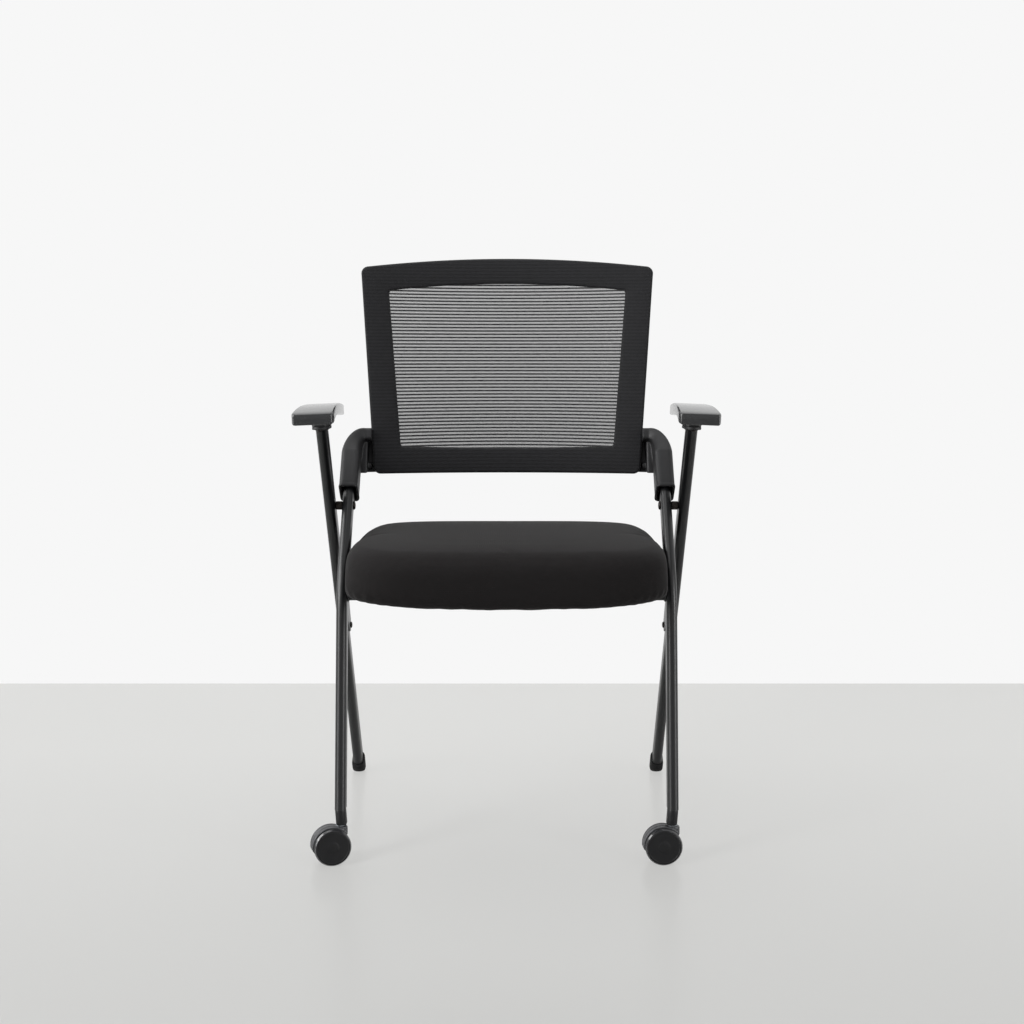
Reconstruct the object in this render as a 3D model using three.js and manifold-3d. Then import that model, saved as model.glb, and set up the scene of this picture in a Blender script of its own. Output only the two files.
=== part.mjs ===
// A nesting chair: folding X frame, flip-up seat, mesh back, arm pads and two front casters.
// Millimetres. X points right as seen from the front, Y points to the back, Z points up.
// The floor is Z 0. Left and right are the viewer's. The caster stems stand on Y 0 while the
// pieces are made, and at the end the whole chair moves so that its middle is on Y 0.
import * as THREE from 'three';
import { mergeVertices } from 'three/addons/utils/BufferGeometryUtils.js';
import Module from 'manifold-3d';

const wasm = await Module();
wasm.setup();

// Fits
const clearance = 0.3;
const hole_play = 0.4;
const overrun = 6;

// Flat oval tube and the round cross tubes
const tube_width = 15.6;
const tube_depth = 30;
const tube_wall = 1.5;
const cross_tube_diameter = 16;
const cross_tube_wall = 1.5;

// Side frames in side view
const front_half_spacing = 235.9;
const front_foot_y = 2;
const front_foot_z = 68;
const bend_y = 59;
const bend_z = 388;
const bend_run = 34;
const pivot_y = 150;
const pivot_z = 495;
const post_above_pivot = 98;
const tube_spacing = 26.4;
const rear_foot_draw = 6;
const rear_foot_y = 478;
const arm_tube_top = 613;

// Cross tubes
const front_cross_z = 376;
const seat_hinge_y = 178;
const seat_hinge_z = 374;

// Pivot bolts and spacers
const pivot_bolt_diameter = 8;
const pivot_head_diameter = 13;
const pivot_head_height = 2.8;
const spacer_diameter = 12.6;
const pivot_nut_diameter = 12;

// Rear bracket plates
const bracket_thickness = 3;
const bracket_hinge_radius = 13;
const bracket_bolt_radius = 10.5;
const bracket_low_z = 290;
const bracket_high_z = 356;
const bracket_screw_diameter = 6;
const bracket_head_diameter = 10;
const bracket_head_height = 2.4;

// Feet of the rear tubes
const foot_wall = 2.8;
const foot_height = 25;
const foot_sole = 6;

// Caster sockets in the front tubes
const socket_bottom = 56;
const socket_top = 78;
const socket_plug_length = 26;
const socket_width = 15;
const socket_depth = 24;

// Casters
const wheel_diameter = 53;
const wheel_width = 12.5;
const wheel_bevel = 2.4;
const wheel_flange = 5.2;
const wheel_step = 1.9;
const wheel_dish = 1.2;
const wheel_gap = 8;
const caster_trail = 14;
const caster_turn_left = 17;
const caster_turn_right = 3;
const axle_diameter = 6;
const axle_bite = 7;
const stem_diameter = 8;
const stem_top = 98;
const stem_collar_diameter = 13.6;
const stem_collar_height = 1.6;
const hood_thickness = 7;
const hood_gap = 0.9;
const hood_shell = 2.3;
const hood_neck_diameter = 19;
const hood_neck_top = 53.9;
const hood_start_angle = 38;
const hood_end_angle = 190;

// Back supports, the sleeves on top of the posts
const sleeve_start = 21;
const sleeve_lip = 5;
const sleeve_width = 27.6;
const sleeve_depth = 42;
const sleeve_lip_size = 1.4;
const sleeve_straight = 59;
const band_height = 19;
const band_depth = 18;
const band_turn = 13.9;
const band_ahead = 1;
const band_drop = 2.5;
const band_gap = 2;
const web_reach = 17;
const web_rise = 5.7;
const web_height = 56;
const web_thickness = 6;
const web_block_reach = 19.9;
const web_block_behind = 9;
const boss_offset = 7.8;
const boss_rise = 6;
const boss_diameter = 9;
const boss_height = 6;

// Back frame and its mesh
const back_drop = 34.4;
const back_ahead = 1.5;
const back_side_gap = 32.2;
const back_height = 320;
const back_flare = 27.4;
const back_crown = 13.8;
const back_sag = 0.5;
const back_lean_run = 116.6;
const back_bow = 40;
const back_thickness = 14;
const back_corner = 11;
const back_edge_round = 2.5;
const border_bottom = 40.2;
const border_top = 37.3;
const border_low_side = 39.2;
const border_high_side = 43.7;
const window_crown = 10.5;
const window_sag = 3;
const window_corner = 5;
const mesh_thickness = 1.6;
const mesh_setback = 3;
const mesh_border = 4;
const mesh_rib = 3.2;
const mesh_pitch = 5.2;
const mesh_slot = 2.3;
const mesh_columns = 3;
const back_screw_diameter = 4;
const back_screw_head = 8;
const back_screw_head_height = 2.4;
const back_screw_recess = 1.8;
const back_screw_inset = 8;
const back_screw_low_rise = 13;
const back_screw_high_drop = 12;
const back_screw_bite = 8;

// Arm brackets and pads
const flange_width = 24.3;
const flange_length = 66;
const flange_thickness = 4;
const flange_collar_height = 4;
const flange_collar_wall = 1.6;
const arm_plug_length = 24;
const pad_ahead = 131.8;
const pad_length = 240;
const pad_inset = 2.5;
const pad_front_width = 58;
const pad_rear_width = 35;
const pad_rise = 32.7;
const pad_front_drop = 9;
const pad_rear_drop = 7;
const pad_thickness = 13.5;
const pad_round = 3.4;
const pad_roll = 2.4;
const pad_end_run = 10;
const pad_end_narrowing = 7;
const pad_end_thinning = 2;
const pad_boss_width = 22;
const pad_boss_length = 64;
const arm_screw_diameter = 4;
const arm_screw_head = 7;
const arm_screw_head_height = 2.2;
const arm_screw_offset = 27.5;
const arm_screw_bite = 12;

// Seat
const rest_pad_thickness = 3;
const seat_length = 435;
const seat_overhang = 177;
const seat_side_gap = 7.1;
const seat_rear_narrowing = 13;
const seat_widest_run = 70;
const base_thickness = 6;
const base_inset = 14;
const cushion_thickness = 70;
const cushion_front_drop = 3;
const cushion_rear_drop = 8;
const cushion_bottom_inset = 9;
const cushion_shoulder = 34;
const clamp_half = 150;
const clamp_width = 30;
const clamp_length = 34;
const clamp_floor = 12;
const rest_pad_half = 130;
const rest_pad_width = 40;
const rest_pad_length = 13;

// Counts of facets
const oval_segments = 5;
const round_segments = 16;
const small_segments = 10;
const wheel_segments = 24;
const nut_sides = 6;
const cushion_segments = 44;
const corner_steps = 3;
const edge_steps = 10;
const side_steps = 3;
const bend_steps = 4;
const elbow_steps = 6;
const web_steps = 4;
const shoulder_steps = 6;

// Materials, with the colours of the photo
const finish = (color, roughness, metalness) => (
  new THREE.MeshStandardMaterial({ color, roughness, metalness }));
const black_tube = finish(0x1b1c1f, 0.38, 0.4);
const black_plastic = finish(0x222325, 0.6, 0);
const grey_pad = finish(0x4a4b4e, 0.5, 0);
const dark_rubber = finish(0x1c1c1d, 0.85, 0);
const zinc_steel = finish(0x55575a, 0.4, 0.9);
const black_steel = finish(0x26272a, 0.45, 0.8);
const seat_fabric = finish(0x262324, 0.95, 0);
const back_mesh_fabric = finish(0x18181a, 0.9, 0);

const chair = new THREE.Group();
const sides = [
  { name: 'left', sign: -1, turn: caster_turn_left },
  { name: 'right', sign: 1, turn: caster_turn_right },
];

// Closed meshes to solids and back

function cleaned(geometry) {
  const bare = geometry.index ? geometry.toNonIndexed() : geometry.clone();
  bare.deleteAttribute('normal');
  bare.deleteAttribute('uv');
  return mergeVertices(bare);
}

function solidOf(geometry) {
  const merged = cleaned(geometry);
  const vertProperties = Float32Array.from(merged.attributes.position.array);
  const triVerts = Uint32Array.from(merged.index.array);
  return new wasm.Manifold(new wasm.Mesh({ numProp: 3, vertProperties, triVerts }));
}

function geometryOf(solid) {
  const mesh = solid.getMesh();
  const geometry = new THREE.BufferGeometry();
  geometry.setAttribute('position', new THREE.BufferAttribute(Float32Array.from(mesh.vertProperties), 3));
  geometry.setIndex(new THREE.BufferAttribute(Uint32Array.from(mesh.triVerts), 1));
  geometry.computeVertexNormals();
  return geometry;
}

function addPiece(name, shape, material, parent = chair) {
  const geometry = shape.isBufferGeometry ? cleaned(shape) : geometryOf(shape);
  geometry.computeVertexNormals();
  const mesh = new THREE.Mesh(geometry, material);
  mesh.name = name;
  parent.add(mesh);
  return mesh;
}

function without(solid, ...cuts) {
  return cuts.reduce((left, cut) => left.subtract(solidOf(cut)), solid);
}

// Plain shapes, each between stated limits

function box(x0, x1, y0, y1, z0, z1) {
  const geometry = new THREE.BoxGeometry(Math.abs(x1 - x0), Math.abs(y1 - y0), Math.abs(z1 - z0));
  return geometry.translate((x0 + x1) / 2, (y0 + y1) / 2, (z0 + z1) / 2);
}

function boxRound(spot, reach, z0, z1) {
  return box(spot.x - reach, spot.x + reach, spot.y - reach, spot.y + reach, z0, z1);
}

function rodX(diameter, x0, x1, y, z, segments = small_segments) {
  const geometry = new THREE.CylinderGeometry(diameter / 2, diameter / 2, Math.abs(x1 - x0), segments);
  return geometry.rotateZ(Math.PI / 2).translate((x0 + x1) / 2, y, z);
}

function rodY(diameter, x, y0, y1, z, segments = small_segments) {
  const geometry = new THREE.CylinderGeometry(diameter / 2, diameter / 2, Math.abs(y1 - y0), segments);
  return geometry.translate(x, (y0 + y1) / 2, z);
}

function rodZ(diameter, x, y, z0, z1, segments = small_segments) {
  const geometry = new THREE.CylinderGeometry(diameter / 2, diameter / 2, Math.abs(z1 - z0), segments);
  return geometry.rotateX(Math.PI / 2).translate(x, y, (z0 + z1) / 2);
}

function crossTube(half_length, y, z) {
  const outer = cross_tube_diameter / 2;
  const inner = outer - cross_tube_wall;
  const corners = [[inner, -half_length], [outer, -half_length], [outer, half_length], [inner, half_length]];
  const profile = corners.concat([corners[0]]).map(([r, h]) => new THREE.Vector2(r, h));
  return new THREE.LatheGeometry(profile, round_segments).rotateZ(Math.PI / 2).translate(0, y, z);
}

// The outline of a flat oval, its narrow side along X

function ovalPath(path, width, depth) {
  const radius = width / 2;
  const reach = depth / 2 - radius;
  path.absarc(0, reach, radius, 0, Math.PI, false);
  path.absarc(0, -reach, radius, Math.PI, 2 * Math.PI, false);
  path.closePath();
  return path;
}

// A curve through stations, one facet between each two

class StationCurve extends THREE.Curve {
  constructor(stations) {
    super();
    this.stations = stations;
  }

  getPoint(t) {
    const last = this.stations.length - 1;
    const place = Math.min(Math.max(t, 0), 1) * last;
    const index = Math.min(Math.floor(place), last - 1);
    return this.stations[index].clone().lerp(this.stations[index + 1], place - index);
  }

  getPointAt(u) {
    return this.getPoint(u);
  }

  getTangentAt(u) {
    return this.getTangent(u);
  }
}

function ovalTube(stations, width, depth, wall = 0) {
  const shape = ovalPath(new THREE.Shape(), width, depth);
  if (wall > 0) {
    shape.holes.push(ovalPath(new THREE.Path(), width - 2 * wall, depth - 2 * wall));
  }
  return new THREE.ExtrudeGeometry(shape, {
    steps: stations.length - 1,
    curveSegments: oval_segments,
    extrudePath: new StationCurve(stations),
  });
}

// A skin over rings of equal count, closed by a fan at each end or joined into a loop

function skinRings(rings, looped = false) {
  const count = rings[0].length;
  const points = rings.flat();
  const faces = [];
  const spans = looped ? rings.length : rings.length - 1;
  for (let ring = 0; ring < spans; ring += 1) {
    const start = ring * count;
    const onward = ((ring + 1) % rings.length) * count;
    for (let spot = 0; spot < count; spot += 1) {
      const next = (spot + 1) % count;
      faces.push(start + spot, start + next, onward + next, start + spot, onward + next, onward + spot);
    }
  }
  const last = (rings.length - 1) * count;
  for (let spot = 1; !looped && spot < count - 1; spot += 1) {
    faces.push(0, spot + 1, spot);
    faces.push(last, last + spot, last + spot + 1);
  }
  const geometry = new THREE.BufferGeometry().setFromPoints(points);
  geometry.setIndex(faces);
  const solid = solidOf(geometry);
  if (solid.volume() > 0) {
    return geometry;
  }
  const flipped = faces.map((_, place) => faces[place - (place % 3) + 2 - (place % 3)]);
  geometry.setIndex(flipped);
  return geometry;
}

// A rounded rectangle ring round a centre, in the plane of two axes

function roundedRing(centre, across, along, width, depth, round) {
  const ring = [];
  const quarters = [[1, 1], [-1, 1], [-1, -1], [1, -1]];
  quarters.forEach(([sx, sy], quarter) => {
    for (let step = 0; step <= 2; step += 1) {
      const angle = (quarter + step / 2) * (Math.PI / 2);
      const u = sx * (width / 2 - round) + Math.cos(angle) * round;
      const v = sy * (depth / 2 - round) + Math.sin(angle) * round;
      ring.push(centre.clone().addScaledVector(across, u).addScaledVector(along, v));
    }
  });
  return ring;
}

// The convex outline round some circles, as a plate shape

function platesOutline(circles) {
  const spots = [];
  for (const { y, z, radius } of circles) {
    for (let step = 0; step < round_segments; step += 1) {
      const angle = (step / round_segments) * 2 * Math.PI;
      spots.push([y + radius * Math.cos(angle), z + radius * Math.sin(angle)]);
    }
  }
  spots.sort((a, b) => a[0] - b[0] || a[1] - b[1]);
  const turn = (o, a, b) => (a[0] - o[0]) * (b[1] - o[1]) - (a[1] - o[1]) * (b[0] - o[0]);
  const chain = (list) => {
    const kept = [];
    for (const spot of list) {
      while (kept.length > 1 && turn(kept[kept.length - 2], kept[kept.length - 1], spot) <= 0) {
        kept.pop();
      }
      kept.push(spot);
    }
    kept.pop();
    return kept;
  };
  const hull = chain(spots).concat(chain([...spots].reverse()));
  return new THREE.Shape(hull.map(([y, z]) => new THREE.Vector2(y, z)));
}

// Places on the two tubes of a side

const pivot_outer_half = front_half_spacing + tube_spacing;
const rear_foot_half = pivot_outer_half - rear_foot_draw;
const post_direction = new THREE.Vector3(0, pivot_y - bend_y, pivot_z - bend_z).normalize();
const post_normal = new THREE.Vector3(0, post_direction.z, -post_direction.y);
const leg_direction = new THREE.Vector3(0, bend_y - front_foot_y, bend_z - front_foot_z).normalize();

function postPoint(sign, distance) {
  const pivot = new THREE.Vector3(sign * front_half_spacing, pivot_y, pivot_z);
  return pivot.addScaledVector(post_direction, distance);
}

function legPoint(sign, z) {
  const along = (z - front_foot_z) / leg_direction.z;
  const foot = new THREE.Vector3(sign * front_half_spacing, front_foot_y, front_foot_z);
  return foot.addScaledVector(leg_direction, along);
}

function rearPoint(sign, z) {
  const share = z / pivot_z;
  const half = rear_foot_half + (pivot_outer_half - rear_foot_half) * share;
  return new THREE.Vector3(sign * half, rear_foot_y + (pivot_y - rear_foot_y) * share, z);
}

const post_top = postPoint(1, post_above_pivot);
const front_cross_y = legPoint(1, front_cross_z).y;
const bracket_outer_half = rearPoint(1, bracket_low_z).x - tube_width / 2 - clearance;
const bracket_inner_half = bracket_outer_half - bracket_thickness;
const bore_width = tube_width - 2 * tube_wall;
const bore_depth = tube_depth - 2 * tube_wall;

// Front legs that run up into the back posts, one bent tube a side

function frontTube(sign) {
  const corner = new THREE.Vector3(sign * front_half_spacing, bend_y, bend_z);
  const before = corner.clone().addScaledVector(leg_direction, -bend_run);
  const after = corner.clone().addScaledVector(post_direction, bend_run);
  const bend = new THREE.QuadraticBezierCurve3(before, corner, after).getPoints(bend_steps);
  const stations = [legPoint(sign, front_foot_z), ...bend, postPoint(sign, post_above_pivot)];
  const x = sign * front_half_spacing;
  const reach = tube_width;
  const trim = box(x - reach, x + reach, -tube_depth, tube_depth, 0, socket_top);
  const hole = rodX(pivot_bolt_diameter + 2 * hole_play, x - reach, x + reach, pivot_y, pivot_z);
  return without(solidOf(ovalTube(stations, tube_width, tube_depth, tube_wall)), trim, hole);
}

// Plastic socket that plugs a leg and takes the caster stem

function casterSocket(sign) {
  const x = sign * front_half_spacing;
  const foot = legPoint(sign, socket_top);
  const collar_shape = ovalPath(new THREE.Shape(), socket_width, socket_depth);
  const collar_height = socket_top - clearance - socket_bottom;
  const collar = new THREE.ExtrudeGeometry(collar_shape, {
    depth: collar_height,
    bevelEnabled: false,
    curveSegments: oval_segments,
  });
  collar.translate(x, front_foot_y, socket_bottom);
  const plug_width = bore_width - 2 * clearance;
  const plug_depth = bore_depth - 2 * clearance;
  const plug_end = foot.clone().addScaledVector(leg_direction, socket_plug_length);
  const plug_start = foot.clone().addScaledVector(leg_direction, -socket_depth / 4);
  const plug = ovalTube([plug_start, plug_end], plug_width, plug_depth);
  const hole = rodZ(stem_diameter + 2 * clearance, x, 0, 0, stem_top + clearance, round_segments);
  return without(solidOf(collar).add(solidOf(plug)), hole);
}

// Rear legs that run up into the arm tubes, one straight tube a side

function rearTube(sign) {
  const stations = [rearPoint(sign, -tube_depth), rearPoint(sign, arm_tube_top + tube_depth)];
  const middle = rearPoint(sign, pivot_z);
  const keep = boxRound(middle, rear_foot_y, foot_sole, arm_tube_top);
  const inner = sign * (pivot_outer_half - tube_width);
  const pivot_hole = rodX(pivot_bolt_diameter + 2 * hole_play, inner, middle.x, pivot_y, pivot_z);
  let tube = solidOf(ovalTube(stations, tube_width, tube_depth, tube_wall)).intersect(solidOf(keep));
  tube = without(tube, pivot_hole);
  for (const z of [bracket_low_z, bracket_high_z]) {
    const spot = rearPoint(sign, z);
    tube = without(tube, rodX(bracket_screw_diameter + 2 * hole_play, inner, spot.x, spot.y, spot.z));
  }
  return tube;
}

// Plastic foot over the end of a rear leg, flat on the floor

function footCap(sign) {
  const low = rearPoint(sign, -tube_depth);
  const high = rearPoint(sign, foot_height);
  const above = rearPoint(sign, foot_height + tube_depth);
  const outer = ovalTube([low, high], tube_width + 2 * foot_wall, tube_depth + 2 * foot_wall);
  const pocket = ovalTube([low, above], tube_width + 2 * clearance, tube_depth + 2 * clearance);
  const foot = rearPoint(sign, 0);
  const below = boxRound(foot, 2 * tube_depth, -2 * tube_depth, 0);
  const sole = boxRound(foot, 2 * tube_depth, -2 * tube_depth, foot_sole - clearance);
  return without(solidOf(outer), below).subtract(without(solidOf(pocket), sole));
}

// Flat plate that carries the rear cross tube in front of the rear leg

function bracketPlate(sign) {
  const low = rearPoint(sign, bracket_low_z);
  const high = rearPoint(sign, bracket_high_z);
  const outline = platesOutline([
    { y: low.y, z: low.z, radius: bracket_bolt_radius },
    { y: high.y, z: high.z, radius: bracket_bolt_radius },
    { y: seat_hinge_y, z: seat_hinge_z, radius: bracket_hinge_radius },
  ]);
  const plate = new THREE.ExtrudeGeometry(outline, { depth: bracket_thickness, bevelEnabled: false });
  plate.rotateX(Math.PI / 2).rotateZ(Math.PI / 2);
  const start = sign > 0 ? bracket_inner_half : -bracket_outer_half;
  const hole_diameter = bracket_screw_diameter + 2 * hole_play;
  const holes = [low, high].map((spot) => (
    rodX(hole_diameter, start - overrun, start + overrun, spot.y, spot.z)));
  return without(solidOf(plate.translate(start, 0, 0)), ...holes);
}

function bracketBolt(sign, z) {
  const spot = rearPoint(sign, z);
  const seat = bracket_inner_half - clearance;
  const outside = seat - bracket_head_height;
  const buried = seat - bracket_head_height / 2;
  const head = rodX(bracket_head_diameter, sign * seat, sign * outside, spot.y, spot.z);
  const shank = rodX(bracket_screw_diameter, sign * buried, spot.x, spot.y, spot.z);
  return solidOf(head).add(solidOf(shank));
}

// Pivot of the two tubes: bolt from the inside, spacer between, nut in the outer tube

function pivotBolt(sign) {
  const seat = sign * (front_half_spacing - tube_width / 2 - clearance);
  const outside = seat - sign * pivot_head_height;
  const buried = seat - sign * (pivot_head_height / 2);
  const tip = sign * pivot_outer_half;
  const head = rodX(pivot_head_diameter, seat, outside, pivot_y, pivot_z, round_segments);
  const shank = rodX(pivot_bolt_diameter, buried, tip, pivot_y, pivot_z);
  return solidOf(head).add(solidOf(shank));
}

function pivotSpacer(sign) {
  const inner = sign * (front_half_spacing + tube_width / 2 + clearance);
  const outer = sign * (pivot_outer_half - tube_width / 2 - clearance);
  const body = rodX(spacer_diameter, inner, outer, pivot_y, pivot_z, round_segments);
  const hole_start = inner - sign * overrun;
  const hole_end = outer + sign * overrun;
  const hole = rodX(pivot_bolt_diameter + 2 * clearance, hole_start, hole_end, pivot_y, pivot_z);
  return without(solidOf(body), hole);
}

function pivotNut(sign) {
  const half = bore_width / 2 - clearance;
  const inner = sign * (pivot_outer_half - half);
  const outer = sign * (pivot_outer_half + half);
  const body = rodX(pivot_nut_diameter, inner, outer, pivot_y, pivot_z, nut_sides);
  const hole_start = inner - sign * overrun;
  const hole_end = sign * (pivot_outer_half + clearance);
  const hole = rodX(pivot_bolt_diameter + 2 * clearance, hole_start, hole_end, pivot_y, pivot_z);
  return without(solidOf(body), hole);
}

// The back hangs between the tops of the posts, and its window lies within its borders

const back_bottom = post_top.z - back_drop;
const back_corner_top = back_bottom + back_height;
const back_bottom_half = front_half_spacing - back_side_gap;
const back_top_half = back_bottom_half + back_flare;
const window_bottom = back_bottom + border_bottom;
const window_top = back_corner_top - border_top;
const window_bottom_half = back_bottom_half - border_low_side;
const window_top_half = back_top_half - border_high_side;
const web_bottom = back_bottom + web_rise;
const web_top = web_bottom + web_height;
const back_screw_half = back_bottom_half - back_screw_inset;
const back_screw_low = web_bottom + back_screw_low_rise;
const back_screw_high = web_top - back_screw_high_drop;

// The bent surface of the back: it leans back and bows away from the sitter

const back_front_y = post_top.y + back_ahead;
const back_slope = back_lean_run / back_height;

function backSurfaceY(x, z) {
  const share = x / back_top_half;
  return back_front_y + (z - back_bottom) * back_slope + back_bow * (1 - share * share);
}

function bendToBack(geometry, rear) {
  const place = geometry.attributes.position;
  for (let index = 0; index < place.count; index += 1) {
    const x = place.getX(index);
    const z = place.getY(index);
    const depth = place.getZ(index);
    place.setXYZ(index, x, backSurfaceY(x, z) + rear - depth, z);
  }
  return geometry;
}

function halfAt(z, low_z, low_half, high_z, high_half) {
  return low_half + (high_half - low_half) * ((z - low_z) / (high_z - low_z));
}

// A trapezoid loop with round corners, a crowned top and a sagging bottom edge, in X and Z

function backLoop({ low_z, low_half, high_z, high_half, crown, sag, round }) {
  const points = [];
  const reachAt = (z) => halfAt(z, low_z, low_half, high_z, high_half);
  const low_reach = reachAt(low_z + round) - round;
  const high_reach = reachAt(high_z - round) - round;
  const corner = (x, z, start) => {
    for (let step = 0; step <= corner_steps; step += 1) {
      const angle = start + (step / corner_steps) * (Math.PI / 2);
      points.push([x + round * Math.cos(angle), z + round * Math.sin(angle)]);
    }
  };
  const edge = (from, to, z, rise) => {
    for (let step = 1; step < edge_steps; step += 1) {
      const x = from + (to - from) * (step / edge_steps);
      const share = x / Math.abs(from);
      points.push([x, z + rise * (1 - share * share)]);
    }
  };
  const side = (sign, from, to) => {
    for (let step = 1; step < side_steps; step += 1) {
      const z = from + (to - from) * (step / side_steps);
      points.push([sign * reachAt(z), z]);
    }
  };
  corner(low_reach, low_z + round, -Math.PI / 2);
  side(1, low_z + round, high_z - round);
  corner(high_reach, high_z - round, 0);
  edge(high_reach, -high_reach, high_z, crown);
  corner(-high_reach, high_z - round, Math.PI / 2);
  side(-1, high_z - round, low_z + round);
  corner(-low_reach, low_z + round, Math.PI);
  edge(-low_reach, low_reach, low_z, -sag);
  return points;
}

// The frame is a chamfered section that runs round between its outer and its window loop

function backFrame() {
  const outer = backLoop({
    low_z: back_bottom,
    low_half: back_bottom_half,
    high_z: back_corner_top,
    high_half: back_top_half,
    crown: back_crown,
    sag: back_sag,
    round: back_corner,
  });
  const window = backLoop({
    low_z: window_bottom,
    low_half: window_bottom_half,
    high_z: window_top,
    high_half: window_top_half,
    crown: window_crown,
    sag: window_sag,
    round: window_corner,
  });
  const edge = back_edge_round;
  const rings = outer.map(([x, z], index) => {
    const [inner_x, inner_z] = window[index];
    const across = Math.hypot(inner_x - x, inner_z - z);
    const section = [
      [edge, 0], [across - edge, 0], [across, edge], [across, back_thickness - edge],
      [across - edge, back_thickness], [edge, back_thickness], [0, back_thickness - edge], [0, edge],
    ];
    return section.map(([along, depth]) => {
      const px = x + (inner_x - x) * (along / across);
      const pz = z + (inner_z - z) * (along / across);
      return new THREE.Vector3(px, backSurfaceY(px, pz) + depth, pz);
    });
  });
  let solid = solidOf(skinRings(rings, true));
  for (const { sign } of sides) {
    for (const z of [back_screw_low, back_screw_high]) {
      const x = sign * back_screw_half;
      const rear = backSurfaceY(x, z) + back_thickness;
      const hole_end = rear - back_screw_bite - clearance;
      solid = without(solid, rodY(back_screw_diameter + 2 * clearance, x, hole_end, rear + overrun, z));
    }
  }
  return solid;
}

// The stretched mesh: rows of see-through gaps between cords and a few ribs

function netLines() {
  const rows = Math.floor((window_top - window_bottom - 2 * mesh_border) / mesh_pitch);
  const used = rows * mesh_pitch - (mesh_pitch - mesh_slot);
  const start = (window_bottom + window_top - used) / 2;
  const lines_z = [];
  for (let row = 0; row < rows; row += 1) {
    lines_z.push(start + row * mesh_pitch, start + row * mesh_pitch + mesh_slot);
  }
  const rib_share = mesh_rib / (window_bottom_half * 2);
  const border_share = mesh_border / (window_bottom_half * 2);
  const gap_share = (1 - 2 * border_share - (mesh_columns - 1) * rib_share) / mesh_columns;
  const lines_x = [0];
  for (let column = 0; column < mesh_columns; column += 1) {
    const left = border_share + column * (gap_share + rib_share);
    lines_x.push(left, left + gap_share);
  }
  lines_x.push(1);
  return { lines_x, lines_z, rows };
}

function netPoint(share, z, edge) {
  const half = halfAt(z, window_bottom, window_bottom_half, window_top, window_top_half) - clearance;
  const x = (2 * share - 1) * half;
  const reach = x / (half + clearance - window_corner);
  const curve = Math.max(0, 1 - reach * reach);
  let lift = 0;
  if (edge > 0) {
    lift = window_crown * curve - clearance;
  }
  if (edge < 0) {
    lift = clearance - window_sag * curve;
  }
  return [x, z + lift];
}

function backMesh() {
  const { lines_x, lines_z, rows } = netLines();
  const heights = [window_bottom, ...lines_z, window_top];
  const across = lines_x.length;
  const points = [];
  const corner_pull = window_corner * (1 - Math.SQRT1_2) + clearance;
  for (const depth of [0, mesh_thickness]) {
    heights.forEach((z, level) => {
      const edge = level === 0 ? -1 : Number(level === heights.length - 1);
      lines_x.forEach((share, column) => {
        const [x, height] = netPoint(share, z, edge);
        const at_corner = edge !== 0 && (column === 0 || column === across - 1);
        const px = at_corner ? x - Math.sign(x) * corner_pull : x;
        const pz = at_corner ? height - edge * corner_pull : height;
        points.push(new THREE.Vector3(px, backSurfaceY(px, pz) + mesh_setback + depth, pz));
      });
    });
  }
  const layer = heights.length * across;
  const isGap = (level, column) => {
    if (level < 0 || level >= heights.length - 1 || column < 0 || column >= across - 1) {
      return null;
    }
    const gap_row = level % 2 === 1 && level < 2 * rows;
    return gap_row && column % 2 === 1;
  };
  const faces = [];
  const quad = (a, b, c, d) => faces.push(a, b, c, a, c, d);
  for (let level = 0; level < heights.length - 1; level += 1) {
    for (let column = 0; column < across - 1; column += 1) {
      if (isGap(level, column)) {
        continue;
      }
      const a = level * across + column;
      const b = a + 1;
      const c = b + across;
      const d = a + across;
      quad(a, b, c, d);
      quad(a + layer, d + layer, c + layer, b + layer);
      if (isGap(level - 1, column) !== false) {
        quad(a, a + layer, b + layer, b);
      }
      if (isGap(level + 1, column) !== false) {
        quad(c, c + layer, d + layer, d);
      }
      if (isGap(level, column - 1) !== false) {
        quad(d, d + layer, a + layer, a);
      }
      if (isGap(level, column + 1) !== false) {
        quad(b, b + layer, c + layer, c);
      }
    }
  }
  const geometry = new THREE.BufferGeometry().setFromPoints(points);
  geometry.setIndex(faces);
  return geometry;
}

// Moulded support: sleeve on the post, elbow to the side of the back, web behind it

const band_turn_half = front_half_spacing - band_turn;
const band_end_z = web_top - band_drop;
const band_end_y = backSurfaceY(band_turn_half, band_end_z) - band_ahead;

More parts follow.
